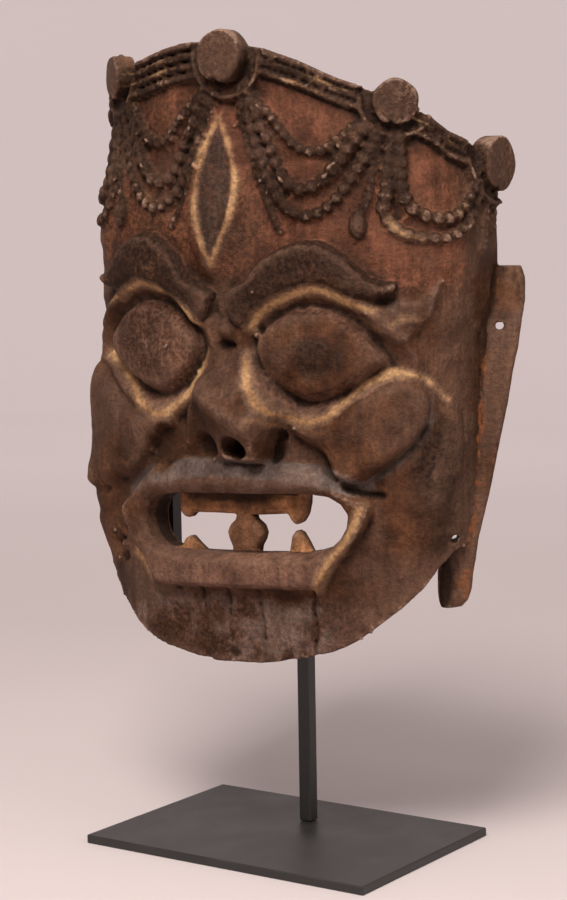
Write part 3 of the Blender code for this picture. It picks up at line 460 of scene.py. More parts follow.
def relief(across_signed, up_real, below_top):
    """Height of the whole carving over the plain arch, in carving units."""
    across = np.abs(across_signed)
    up = up_real - lean(up_real) * across_signed
    ground = blur(ground_relief(across, up), 6) + left_swell(across_signed, up)
    height = ground + chin_relief(across, up)
    jowl = inside(JOWL, across, up)
    height = height + 2.5 * ramp(jowl, -3, 5)
    height = eye_relief(height, across, up)
    tail = inside(TAIL, across, up)
    height = height + np.where(across_signed > 0, 3.5, 1.5) * dome(tail / 5.0) * (tail > 0)
    right = inside(soften(CHEEK, 2), across, up)
    left = inside(soften(CHEEK_LEFT, 2), across, up)
    cheek = np.where(across_signed > 0, right, left)
    swell = ground + np.where(across_signed > 0, 11.0, 9.0) * dome(cheek / 10.0)
    height = smooth_max(height, np.where(cheek > 0, swell, -9.0), 1.0)
    crease, _ = to_line(((35, 141), (39, 133), (52, 126), (60, 116), (72, 107.5), (86, 107)),
                        across, up)
    height = height - np.where(across_signed > 0, 4.5, 9.5) * np.exp(-(crease / 3.8) ** 2)
    channel, _ = to_line(((121, 156), (117, 137), (110, 117), (101, 104)), across, up)
    height = height - 3.0 * np.exp(-(channel / 4.0) ** 2)
    height = nose_relief(height, across_signed, up)
    height = mouth_relief(height, across_signed, up)
    lump = oval(across_signed, up, (2, 193), (8, 6.5))
    height = np.maximum(height, ground + 7.0 * np.sqrt(np.clip(1.0 - lump, 0, 1)))
    slot = oval(across_signed, up, (1, 185), (8, 1.8))
    height = height - 4.0 * (1.0 - ramp(slot, 0.4, 1.2))
    brow = inside(BROW, brow_across(across_signed), up)
    plate = ground + 4.5 + 5.5 * dome(brow / 5.0)
    height = np.where(brow > 0, np.maximum(height, plate), height)
    height = height + third_eye_relief(across_signed, up_real)
    height, _ = crown_relief(blur(height, SOFTENING), across_signed, up, below_top)
    return ground, height


class Arch:
    """The plan of the shell: half a superellipse, running straight back at its ends."""

    def __init__(self):
        self.half = MASK_HALF_WIDTH / MM
        self.depth = MASK_DEPTH / MM
        self.back = ARCH_BACK * DEEP_SCALE
        turn = np.linspace(0.0, math.pi / 2, 3000)
        x = self.half * np.sin(turn) ** (2 / ARCH_POWER)
        y = self.back - self.depth * np.cos(turn) ** (2 / ARCH_POWER)
        x = np.append(x, self.half)
        y = np.append(y, self.back + 40.0)
        run = np.concatenate([[0.0], np.cumsum(np.hypot(np.diff(x), np.diff(y)))])
        self.run = np.arange(0.0, run[-1], 0.4)
        self.x = np.interp(self.run, run, x)
        self.y = np.interp(self.run, run, y)
        slope_x = np.gradient(self.x)
        slope_y = np.gradient(self.y)
        size = np.hypot(slope_x, slope_y)
        self.tangent = np.stack([slope_x / size, slope_y / size])
        self.normal = np.stack([slope_y / size, -slope_x / size])
        self.arc_scale = run[-2] / CARVED_HALF_ARC

    def nearest(self, x, y):
        """Signed distance from the arch and signed run along it, for points in plan."""
        flat_x = np.abs(x).ravel()
        flat_y = y.ravel()
        nearest = np.empty(flat_x.size, dtype=int)
        for first in range(0, flat_x.size, 4000):
            part = slice(first, first + 4000)
            gap = (flat_x[part, None] - self.x) ** 2 + (flat_y[part, None] - self.y) ** 2
            nearest[part] = np.argmin(gap, axis=1)
        off_x = flat_x - self.x[nearest]
        off_y = flat_y - self.y[nearest]
        out = off_x * self.normal[0][nearest] + off_y * self.normal[1][nearest]
        run = self.run[nearest] + off_x * self.tangent[0][nearest] + off_y * self.tangent[1][nearest]
        run = np.maximum(run, 0.0) * np.where(x.ravel() < 0, -1.0, 1.0)
        return out.reshape(x.shape), run.reshape(x.shape)

    def point(self, run):
        """Place and outward normal in plan at a signed run."""
        side = -1.0 if run < 0 else 1.0
        place = (side * np.interp(abs(run), self.run, self.x), np.interp(abs(run), self.run, self.y))
        normal = (side * np.interp(abs(run), self.run, self.normal[0]),
                  np.interp(abs(run), self.run, self.normal[1]))
        return np.array(place), np.array(normal)


def top_edge(x, y):
    """Height of the crown's top edge in carving units, by the angle round the arch."""
    angle = np.degrees(np.arctan2(x / SIDE_SCALE, 90.0 - np.minimum(y / DEEP_SCALE, 60.0)))
    return np.interp(np.abs(angle), TOP_ANGLE, TOP_UP) + TOP_TILT * angle


def unrolled_front(arch):
    """Distances across the unrolled front, and the height of the top edge at each."""
    across = np.arange(-FRONT_REACH, FRONT_REACH + 0.1, FRONT_STEP)
    front = np.array([arch.point(value * arch.arc_scale)[0] for value in across])
    return across, top_edge(front[:, 0], front[:, 1])[:, None]


def slab(outline, x, up, y, front, thickness):
    """A flat piece with the given outline, standing across the mouth."""
    middle = front + thickness / 2
    return smooth_max(-inside(outline, x, up)[:, None, :],
                      np.abs(y - middle)[None, :, None] - thickness / 2, 3.5)


def ear_gap(x, y, up):
    """Distance in plan from the middle of the ear's plate, and the share of the way along it."""
    root_x = np.interp(up, EAR_UP, EAR_ROOT_X) * SIDE_SCALE
    root_y = np.interp(up, EAR_UP, EAR_ROOT_Y) * DEEP_SCALE
    run_x = np.interp(up, EAR_UP, EAR_EDGE_X) * SIDE_SCALE - root_x
    run_y = np.interp(up, EAR_UP, EAR_EDGE_Y) * DEEP_SCALE - root_y
    off_x = np.abs(x) - root_x
    off_y = y - root_y
    share = np.clip((off_x * run_x + off_y * run_y) / (run_x ** 2 + run_y ** 2), 0, 1)
    return np.hypot(off_x - share * run_x, off_y - share * run_y), share


def ear_field(x, y, up):
    """A plate that stands out from the side wall and hangs below it as a lobe."""
    gap, share = ear_gap(x[:, None, None], y[None, :, None], up[None, None, :])
    plate = gap - EAR_THICKNESS / MM / 2 * (1.0 - 0.2 * share)
    return np.maximum(plate, np.maximum(up - EAR_UP[-1], EAR_UP[0] - up)[None, None, :])


def ear_holes(x, y, up):
    """Small round holes bored through the right ear, away from the front's middle."""
    turn = math.radians(EAR_HOLE_TURN)
    field = None
    for place, setback, height, radius in EAR_HOLES:
        off_x = (x - place)[:, None, None]
        off_y = (y - setback)[None, :, None]
        across = off_x * math.cos(turn) + off_y * math.sin(turn)
        along = off_y * math.cos(turn) - off_x * math.sin(turn)
        away = np.hypot(across, (up - height)[None, None, :]) - radius
        hole = np.maximum(away, np.abs(along) - EAR_HOLE_REACH)
        field = hole if field is None else np.minimum(field, hole)
    return field


def disc_field(arch, place, level, radius, x, y, up):
    """A short round boss standing out square to the arch."""
    height = leaning_height(place, level)
    centre, normal = arch.point(place * arch.arc_scale)
    off_x = (x - centre[0])[:, None, None]
    off_y = (y - centre[1])[None, :, None]
    out = off_x * normal[0] + off_y * normal[1]
    side = off_y * normal[0] - off_x * normal[1]
    rise = (up - height)[None, None, :] * UP_SCALE
    away = np.hypot(side, rise)
    turn = np.arctan2(rise, side) + math.pi / 2 + 0.25
    lobes = 1.0 - DISC_NOTCH * np.exp(-(turn / 0.16) ** 2) - 0.02 * np.cos(5 * turn + place)
    proud = DISC_PROUD * UP_SCALE + ground_relief(abs(place), level) * UP_SCALE
    middle = proud - DISC_DEPTH / 2
    boss = away - radius * UP_SCALE * lobes
    return smooth_max(boss, np.abs(out - middle) - DISC_DEPTH / 2, 1.5)


def mask_field(arch, x, y, z):
    """Distance-like field of the mask in millimetres, negative in the wood."""
    plan_x, plan_y = np.meshgrid(x, y, indexing="ij")
    out, run = arch.nearest(plan_x, plan_y)
    up = z / UP_SCALE

    across, edge = unrolled_front(arch)
    level_across, level_up = np.meshgrid(across, up, indexing="ij")
    ground, height = relief(level_across, level_up, edge - level_up)
    height = height + fine_relief(level_across, level_up)
    opening = inside(MOUTH, np.abs(level_across - MOUTH_SHIFT),
                     level_up - lean(level_up) * level_across)
    foot = np.interp(np.abs(across), RIM_ACROSS, RIM_UP)[:, None] + lean(20.0) * level_across
    foot = foot - level_up

    place = np.clip((run / arch.arc_scale - across[0]) / FRONT_STEP, 0, across.size - 1.001)
    low = place.astype(int)
    share = (place - low)[:, :, None]

    def spread(table):
        return table[low] * (1.0 - share) + table[low + 1] * share

    out = out[:, :, None]
    solid = out - spread(height) * UP_SCALE
    roof = (top_edge(plan_x, plan_y) * UP_SCALE)[:, :, None] + ROOF_SLOPE * np.minimum(out, 0.0)
    level = z[None, None, :]
    inner = out + WALL / MM - spread(ground) * UP_SCALE
    hollow = smooth_max(inner, level - roof + ROOF / MM, HOLLOW_FILLET / MM)
    solid = most(solid, level - roof, -hollow, spread(foot) * UP_SCALE, spread(opening) * UP_SCALE)

    front_y = TEETH_FRONT * DEEP_SCALE
    tooth = TOOTH_THICKNESS / MM
    flat_x, flat_up = np.meshgrid(x / SIDE_SCALE, up, indexing="ij")
    for outline in (UPPER_TEETH, CENTRE_TOOTH, LEFT_FANG, RIGHT_FANG):
        solid = np.minimum(solid, slab(outline, flat_x, flat_up, y, front_y, tooth))
    rear = np.interp(up, REAR_UP, REAR_SETBACK) * RIM_SETBACK / MM / REAR_SETBACK[-1]
    solid = np.maximum(solid, y[None, :, None] - rear[None, None, :])
    ear = np.maximum(ear_field(x, y, up), -(out + WALL / MM))
    solid = smooth_min(solid, ear, 2.0)
    solid = np.maximum(solid, -ear_holes(x, y, up))
    for place, level_up, radius in DISCS:
        for side in ((0.0,) if place == 0 else (-1.0, 1.0)):
            disc = disc_field(arch, side * place, level_up, radius, x, y, up)
            solid = np.minimum(solid, disc)
    rim = (y - RIM_SETBACK / MM - EAR_REACH / MM)[None, :, None]
    return np.maximum(solid, rim)


def touching_cases():
    """Which of the 256 corner patterns of a cell would join two sheets at a point."""
    links = [(a, b) for a in range(8) for b in range(a + 1, 8) if bin(a ^ b).count("1") == 1]

    def parts(chosen):
        left = set(chosen)
        count = 0
        while left:
            count += 1
            queue = [left.pop()]
            while queue:
                corner = queue.pop()
                for a, b in links:
                    for here, there in ((a, b), (b, a)):
                        if here == corner and there in left:
                            left.discard(there)
                            queue.append(there)
        return count

    cases = np.zeros(256, dtype=bool)
    faces = []
    for axis in (1, 2, 4):
        others = [bit for bit in (1, 2, 4) if bit != axis]
        for base in (0, axis):
            faces.append((base, base + others[0], base + sum(others), base + others[1]))
    for code in range(256):
        filled = [corner for corner in range(8) if code >> corner & 1]
        empty = [corner for corner in range(8) if not code >> corner & 1]
        crossed = False
        for a, b, c, d in faces:
            values = [code >> corner & 1 for corner in (a, b, c, d)]
            crossed |= values in ([1, 0, 1, 0], [0, 1, 0, 1])
        cases[code] = crossed or parts(filled) > 1 or parts(empty) > 1
    return cases


def cell_corners(field):
    """The field at the eight corners of each cell, in the order of the corner codes."""
    ends = (slice(None, -1), slice(1, None))
    return [field[ends[code & 1], ends[code >> 1 & 1], ends[code >> 2 & 1]] for code in range(8)]


def cell_codes(field):
    """Which corners of each cell lie in the wood, one bit for each."""
    code = np.zeros(tuple(size - 1 for size in field.shape), dtype=np.uint8)
    for bit, corner in enumerate(cell_corners(field)):
        code |= (corner < 0).astype(np.uint8) << bit
    return code


def corner_index(cells, bit):
    """Where one corner of each of these cells stands in the field."""
    return tuple((cells + [bit & 1, bit >> 1 & 1, bit >> 2 & 1]).T)


def part_sheets(field, nudge):
    """Fill cells where two sheets would touch, so that the surface stays a manifold."""
    cases = touching_cases()
    for _ in range(12):
        cells = np.argwhere(cases[cell_codes(field)])
        if len(cells) == 0:
            break
        for bit in range(8):
            spot = corner_index(cells, bit)
            field[spot] = np.minimum(field[spot], -nudge)
    return field


def surface_net(field, step, corner):
    """Quads on the zero level of a field: one vertex for each cell that the level crosses."""
    field = part_sheets(field, 0.02 * step)
    code = cell_codes(field)
    cells = np.argwhere((code > 0) & (code < 255))
    values = np.stack([field[corner_index(cells, bit)] for bit in range(8)])
    total = np.zeros((len(cells), 3))
    count = np.zeros(len(cells))
    for start in range(8):
        for axis in range(3):
            if start >> axis & 1:
                continue
            first = values[start]
            second = values[start | 1 << axis]
            crossed = (first < 0) != (second < 0)
            share = np.where(crossed, first / np.where(crossed, first - second, 1.0), 0.0)
            spot = np.array([start & 1, start >> 1 & 1, start >> 2 & 1], dtype=float)
            total += np.where(crossed[:, None], spot, 0.0)
            total[:, axis] += share
            count += crossed
    points = (cells + total / count[:, None]) * step + corner
    index = np.full(code.shape, -1)
    index[tuple(cells.T)] = np.arange(len(cells))
    quads = []
    for axis in range(3):
        second, third = (axis + 1) % 3, (axis + 2) % 3
        low = np.moveaxis(field, (axis, second, third), (0, 1, 2))
        grid = np.moveaxis(index, (axis, second, third), (0, 1, 2))
        start = low[:-1, 1:-1, 1:-1] < 0
        end = low[1:, 1:-1, 1:-1] < 0
        for leaving in (True, False):
            i, j, k = np.nonzero((start & ~end) if leaving else (~start & end))
            ring = [grid[i, j, k], grid[i, j + 1, k], grid[i, j + 1, k + 1], grid[i, j, k + 1]]
            quads.append(np.stack(ring if leaving else ring[::-1], axis=1))
    return points, np.concatenate(quads)


# Camera, fitted to the photograph: place in metres, then angles in degrees
PHOTO_HEIGHT_PX = 900
PHOTO_FOCAL_PX = 2167
SENSOR = 36.0
CAMERA_PLACE = (0.7032, -1.0080, 0.3565)
CAMERA_AZIMUTH = 34.81
CAMERA_ELEVATION = 5.99
CAMERA_ROLL = -0.98

# Studio sweep, in metres: its colour, and how strongly it glows by distance behind the mask
SWEEP_FRONT = -6.0
SWEEP_SIDE = 9.0
SWEEP_HEIGHT = 9.0
SWEEP_FLAT = 3.0
SWEEP_RADIUS = 2.5
SWEEP_STEPS = 12
PAPER = (0.60, 0.512, 0.503)
SWEEP_GLOW_AT = (0.0, 0.6, 0.8, 1.2, 2.0, 3.7, 5.5)
SWEEP_GLOW = (0.0, 0.03, 0.09, 0.27, 0.51, 0.64, 0.73)

# Lights: azimuth and elevation, distance, size, watts and colour. They look at one place.
LIGHTS = (
    ("key", (16.0, 48.0), 1.8, 0.8, 44.0, (1.0, 0.96, 0.92)),
    ("fill", (88.0, 22.0), 2.2, 1.4, 13.0, (1.0, 0.96, 0.93)),
    ("top", (30.0, 82.0), 2.0, 1.4, 12.0, (1.0, 0.98, 0.96)),
)
LIT_PLACE = (0.0, 0.0, 0.27)
SURROUND = (0.80, 0.74, 0.73, 1.0)
SURROUND_STRENGTH = 0.2

# Fine mesh: its step in millimetres, and its triangles
FINE_STEP = 1.15
FINE_TRIANGLES = 190000

# How many times each measure of the mesh's bends is averaged over its neighbours
BEND_PASSES = 5
BROAD_PASSES = 14
SUNK_PASSES = 30

# Length across and up that noise covers, and how much of it comes before the origin
NOISE_SIZE = (430, 400)
NOISE_MARGIN = (210.0, 15.0)

# Painted and worn lines: half-width, side (0 both, 1 right, -1 left), points
GOLD_LINES = (
    (1.5, 0, ((16, 195), (25, 205), (37, 211.5), (47, 215), (58, 217), (69, 213), (78, 209),
              (87, 207))),
    (2.0, 0, ((14, 180), (17, 174), (22, 165), (29, 156), (38, 149), (47, 145), (57, 146),
              (65, 151), (72, 158), (81, 166), (89, 171), (97, 174))),
    (0.9, 1, ((97, 174), (105, 173), (112, 170), (119, 163), (125, 157))),
    (1.9, 1, ((57, 56), (62, 65), (70, 75), (76, 86), (79, 94))),
    (1.3, 1, ((54, 50), (57, 56))),
    (1.4, -1, ((62, 52), (68, 61), (75, 67))),
    (1.0, 1, ((26, 143), (29, 147), (33, 146), (36, 141))),
    (0.7, 1, ((82, 200), (88, 197), (94, 198), (100, 202), (106, 203))),
    (0.8, 1, ((95, 256), (101, 250), (110, 246.5))),
)

# Cracks: half-width, depth and points. Then a patched hole in the left jaw, and the holes in
# the ear: the angle and half the length that they are bored at, then place in plan, height and
# radius.
CRACKS = (
    (0.7, 3.4, ((51, 52), (50.5, 40), (51.5, 28), (50, 20), (51, 8))),
    (1.8, 3.5, ((51, 14), (51, 12.5))),
    (0.9, 2.6, ((-22, 50), (-21, 38), (-22.5, 22))),
    (0.9, 2.4, ((18, 50), (17, 38), (19, 22))),
    (0.8, 2.0, ((-4, 50), (-3, 44), (-4, 34))),
    (0.7, 1.6, ((-31, 89), (-30, 103))),
    (0.7, 1.6, ((1, 89), (2, 103))),
    (0.7, 1.6, ((24, 90), (24, 104))),
    (0.6, 1.4, ((150, 100), (152, 150), (149, 190))),
    (0.6, 1.2, ((133, 120), (135, 150))),
    (1.5, 3.5, ((71, 108), (80, 105.5), (90, 104.5))),
)
PATCH = ((-102, 56), (-96, 54), (-88, 58), (-83, 66), (-86, 76), (-94, 79), (-101, 72))
EAR_HOLE_TURN = 35.0
EAR_HOLE_REACH = 26.0
EAR_HOLES = ((129.0, 30.0, 193.6, 2.5), (113.9, 4.0, 79.7, 2.2))


def carving_maps(across, up, below_top):
    """Where each kind of paint, wear and painted shade lies on the unrolled front."""
    side = np.abs(across)
    level = up - lean(up) * across
    gap, along = to_line(THIRD_EYE, across, up)
    share = np.clip(along / THIRD_EYE_LONG, 0.01, 0.99)
    lens = 12.8 * np.sin(math.pi * share) ** 0.85 - gap

    # Gilt lines, with an ochre stain round each
    gold = 1.5 - np.abs(lens + 0.3)
    ochre = ramp(gold, -3.5, 0.5)
    for half, hand, points in GOLD_LINES:
        gap, _ = to_line(soften(points), side, level)
        line = half - gap
        if hand:
            line = np.where(across * hand > 0, line, OFF_LINE)
        gold = np.maximum(gold, line)
        ochre = np.maximum(ochre, ramp(line, -4.5, 0.0))
    grooves = np.zeros_like(across)
    for offset in (6.2, 13.0):
        grooves = np.maximum(grooves, 1.3 - np.abs(below_top - offset))
    gold = np.maximum(gold, grooves - 1.5)

    # Forms that the other maps follow
    _, raised = crown_relief(np.zeros_like(across), across, level, below_top)
    beads = np.clip(raised / 2.5, 0, 1)
    band = (1.0 - ramp(below_top, 16, 19)) * (1.0 - ramp(side, 172, 182))
    brow = inside(BROW, brow_across(across), level)
    crest = inside(LIP_RING, np.abs(across - LIP_SHIFT), level)
    tail = inside(TAIL, side, level)
    eye = inside(EYE, side, level)
    pupil = 1.0 - ramp(np.hypot((side - 58) / 20, (level - 181) / 15), 0.3, 1.3)
    under = ramp(151.0 - 0.5 * across - level, 0, 4) * ramp(level, 119, 126)
    under = under * ramp(across, -38, -30) * (1.0 - ramp(across, 24, 34))
    nose = np.abs(across - NOSE_SHIFT) - np.interp(level, (118, 140, 165, 190), (24, 24, 15, 6))
    nose = (1.0 - ramp(nose, -3, 3)) * ramp(level, 124, 140) * (1.0 - ramp(level, 185, 195))
    chin = (1.0 - ramp(level, 38, 56)) * (1.0 - ramp(side, 60, 110))
    middle = np.exp(-oval(across, level, (2, 250), (30, 34)))
    over = ramp(level, 98, 106) * (1.0 - ramp(-crest, 9, 13)) * (1.0 - ramp(side, 75, 100))
    rim, _ = to_line(((113, 158), (114, 150), (110, 138), (100, 124), (90, 114), (80, 106)),
                     side, level)
    lower = 1.0 - ramp(level - 180 + 0.1 * (side - 60), -6, 4)

    dark = most(
        np.clip((brow + 0.8) / 1.2 + 0.5, 0, 1),
        0.55 * np.clip((lens - 1.5) / 1.2 + 0.5, 0, 1),
        0.8 * beads,
        0.85 * band,
        # Painted shade: the hollow by the right jowl, the lower right side of the jaw turning from
        # the light, and the groove beside the left cheek
        0.95 * np.exp(-oval(across, level, (118, 118), (16, 34))),
        0.6 * np.exp(-oval(across, level, (122, 80), (20, 30))),
        0.75 * np.exp(-oval(across, level, (-50, 126), (14, 12))),
        np.where(across > 0, 0.7, 0.45) * pupil,
        0.3 * nose * (1.0 - under),
        0.5 * middle,
        0.3 * ramp(-across, 15, 60) * ramp(level, 225, 245))
    blue = most(
        np.where(crest < 0, over, 0.45 * over),
        0.6 * ramp(lens, 0, 3),
        0.35 * ramp(tail, -1, 1.5),
        0.28 * nose * (1.0 - under),
        0.55 * chin,
        0.5 * pupil,
        0.8 * (1.0 - ramp(rim, 1, 5)) * (across > 0))
    red = ramp(level, 206, 232) * (1.0 - 0.8 * ramp(side, 118, 150))
    red = red * (1.0 - 0.65 * middle) * (1.0 - 0.45 * ramp(-across, 5, 50))
    red = red * (1.0 - 0.8 * beads) * (1.0 - band)
    lip = most(
        ramp(crest, -1, 1) * (1.0 - ramp(level, 70, 76)),
        0.6 * ramp(eye, -4, -1) * (1.0 - ramp(eye, 3, 9)),
        0.85 * ramp(eye, -10, -6) * (1.0 - ramp(eye, -1, 2)) * lower,
        0.62 * ramp(eye, 0, 5) * (across < 0),
        0.45 * chin)
    # Painted shade in a deep reddish shadow colour: under the nose, on the side walls turning from
    # the light, and in the groove beside the left cheek
    umber = most(
        under,
        0.9 * ramp(side, 132, 150) * (1.0 - ramp(level, 225, 260)),
        0.8 * (1.0 - ramp(np.hypot(across + 46, level - 127), 8, 20)))
    return {"gold": gold, "dark": dark, "blue": blue, "red": red, "lip": lip, "ochre": ochre,
            "umber": umber}


def noise_map(across, up, cell, seed):
    """Smooth noise of about unit size over the unrolled front."""
    size = tuple(int(length / cell) + 4 for length in NOISE_SIZE)
    table = np.random.default_rng(seed).standard_normal(size)
    column = (across + NOISE_MARGIN[0]) / cell
    row = (up + NOISE_MARGIN[1]) / cell
    i, j = np.floor(column).astype(int), np.floor(row).astype(int)
    u, v = column - i, row - j
    return between(table, i, j, u * u * (3 - 2 * u), v * v * (3 - 2 * v))


def fine_relief(across, up):
    """Tool marks, cracks, a patched hole and chips that the solid leaves out."""
    side = np.abs(across)
    level = up - lean(up) * across
    marks = 0.42 * noise_map(across, up, 13.0, 3) + 0.26 * noise_map(across, up, 5.5, 5)
    marks = marks + 0.11 * noise_map(across, up, 2.6, 8)
    for half, depth, points in CRACKS:
        wander = 0.35 * noise_map(across, up, 7.0, 21)
        gap, _ = to_line(points, across + wander, up)
        marks = marks - depth * np.exp(-(gap / half) ** 2)
    patch = inside(PATCH, across, up)
    rough = noise_map(across, up, 3.0, 13)
    marks = marks + ramp(patch, -2, 1.5) * (-1.8 + 1.1 * rough)
    foot = up - np.interp(side, RIM_ACROSS, RIM_UP)
    chips = np.clip(noise_map(across, up, 9.0, 17) - 0.6, 0, 2) * (1.0 - ramp(foot, 2, 12))
    marks = marks - 3.0 * chips * (1.0 - ramp(side, 90, 120))
    pupil = np.hypot(side - 58, level - 182)
    return marks - 0.4 * np.exp(-((pupil - 9) / 1.5) ** 2)


def add_object(name, data):
    """Put an object that shows this data into the scene."""
    thing = bpy.data.objects.new(name, data)
    bpy.context.scene.collection.objects.link(thing)
    return thing


def build_fine_mask(arch):
    """Mesh the carving finely and thin it out."""
    step = FINE_STEP
    reach = GRID_HALF_WIDTH / MM * SIDE_SCALE
    x = np.arange(-reach, reach + step, step)
    y = np.arange(-GRID_FRONT / MM * DEEP_SCALE, (RIM_SETBACK + EAR_REACH) / MM + 3 * step, step)
    z = np.arange(-2 * step, GRID_HEIGHT / MM * UP_SCALE, step)
    field = mask_field(arch, x, y, z)
    corner = np.array([x[0] + POST_OFFSET / MM, y[0], z[0] + CHIN_HEIGHT / MM])
    points, quads = surface_net(field, step, corner)
    del field
    mesh = bpy.data.meshes.new("guardian_mask")
    mesh.vertices.add(len(points))
    mesh.vertices.foreach_set("co", (points * MM).astype(np.float32).ravel())
    mesh.loops.add(4 * len(quads))
    mesh.loops.foreach_set("vertex_index", quads.astype(np.int32).ravel())
    mesh.polygons.add(len(quads))
    mesh.polygons.foreach_set("loop_start", np.arange(len(quads), dtype=np.int32) * 4)
    mesh.update(calc_edges=True)
    mask = add_object("guardian_mask", mesh)
    thin = mask.modifiers.new("thin", "DECIMATE")
    thin.ratio = min(1.0, FINE_TRIANGLES / (2 * len(quads)))
    thin.use_collapse_triangulate = True
    done = mask.evaluated_get(bpy.context.evaluated_depsgraph_get())
    fine = bpy.data.meshes.new_from_object(done)
    mask.modifiers.clear()
    mask.data = fine
    fine.shade_smooth()
    print("mask triangles", len(fine.polygons))
    return mask


def relax(values, edges, size):
    """Average of each point's neighbours."""
    total = np.bincount(edges[:, 0], values[edges[:, 1]], size)
    total += np.bincount(edges[:, 1], values[edges[:, 0]], size)
    count = np.bincount(edges[:, 0], minlength=size) + np.bincount(edges[:, 1], minlength=size)
    return total / np.maximum(count, 1)


def relax_places(places, edges):
    """Middle of each point's neighbours."""
    return np.stack([relax(axis, edges, len(places)) for axis in places.T], axis=1)


def read_rows(elements, name, width, kind):
    """One of the lists of numbers of a mesh, with a row for each element."""
    values = np.empty(len(elements) * width, dtype=kind)
    elements.foreach_get(name, values)
    return values.reshape(-1, width)


def bend_maps(points, normals, edges):
    """How sharply the mesh bends, how it bends over a wider reach, and how deep it is sunk."""
    size = len(points)
    lengths = np.linalg.norm(points[edges[:, 0]] - points[edges[:, 1]], axis=1)
    total = np.bincount(edges[:, 0], lengths, size) + np.bincount(edges[:, 1], lengths, size)
    count = np.bincount(edges[:, 0], minlength=size) + np.bincount(edges[:, 1], minlength=size)
    spacing = total / count
    pull = relax_places(points, edges) - points
    bend = -np.sum(pull * normals, axis=1) / spacing ** 2
    for _ in range(BEND_PASSES):
        bend = 0.4 * bend + 0.6 * relax(bend, edges, size)
    broad = bend
    for _ in range(BROAD_PASSES):
        broad = relax(broad, edges, size)
    smooth = points
    for _ in range(SUNK_PASSES):
        smooth = relax_places(smooth, edges)
    return bend, broad, np.sum((smooth - points) * normals, axis=1)


def store(mesh, name, values):
    """Keep one number for each point of a mesh."""
    layer = mesh.attributes.new(name, "FLOAT", "POINT")
    layer.data.foreach_set("value", values.astype(np.float32))


def disc_maps(arch, x, y, height, normals):
    """The fronts of the crown's discs, and their rims where they face up, which get a painted
    highlight.
    """
    discs = np.zeros(x.size)
    worn_and_lit_top = np.zeros(x.size)
    for place, level, radius in DISCS:
        for side in ((0.0,) if place == 0 else (-1.0, 1.0)):
            centre, normal = arch.point(side * place * arch.arc_scale)
            reach = (x - centre[0]) * normal[0] + (y - centre[1]) * normal[1]
            sweep = (y - centre[1]) * normal[0] - (x - centre[0]) * normal[1]
            away = np.hypot(sweep, height - leaning_height(side * place, level) * UP_SCALE)
            near = ramp(radius * UP_SCALE + 1.0 - away, 0, 0.8) * ramp(reach, 1.5, 3.0)
            rim = near * ramp(away, radius * UP_SCALE - 3.0, radius * UP_SCALE - 1.5)
            discs = np.maximum(discs, near)
            # Pale wear and a painted highlight on the rims that face up to the light
            worn_and_lit_top = np.maximum(worn_and_lit_top, rim * ramp(normals[:, 2], 0.3, 0.8))
    return discs, worn_and_lit_top


def bone_map(x, y, up):
    """The teeth, from their fronts to their backs."""
    bone = np.zeros(x.size)
    for outline in (UPPER_TEETH, CENTRE_TOOTH, LEFT_FANG, RIGHT_FANG):
        bone = np.maximum(bone, ramp(inside(outline, x / SIDE_SCALE, up), -1.0, -0.2))
    bone = bone * ramp(y - TEETH_FRONT * DEEP_SCALE, -1.2, -0.4)
    return bone * (1.0 - ramp(y - TEETH_FRONT * DEEP_SCALE - TOOTH_THICKNESS / MM, 0.4, 1.4))


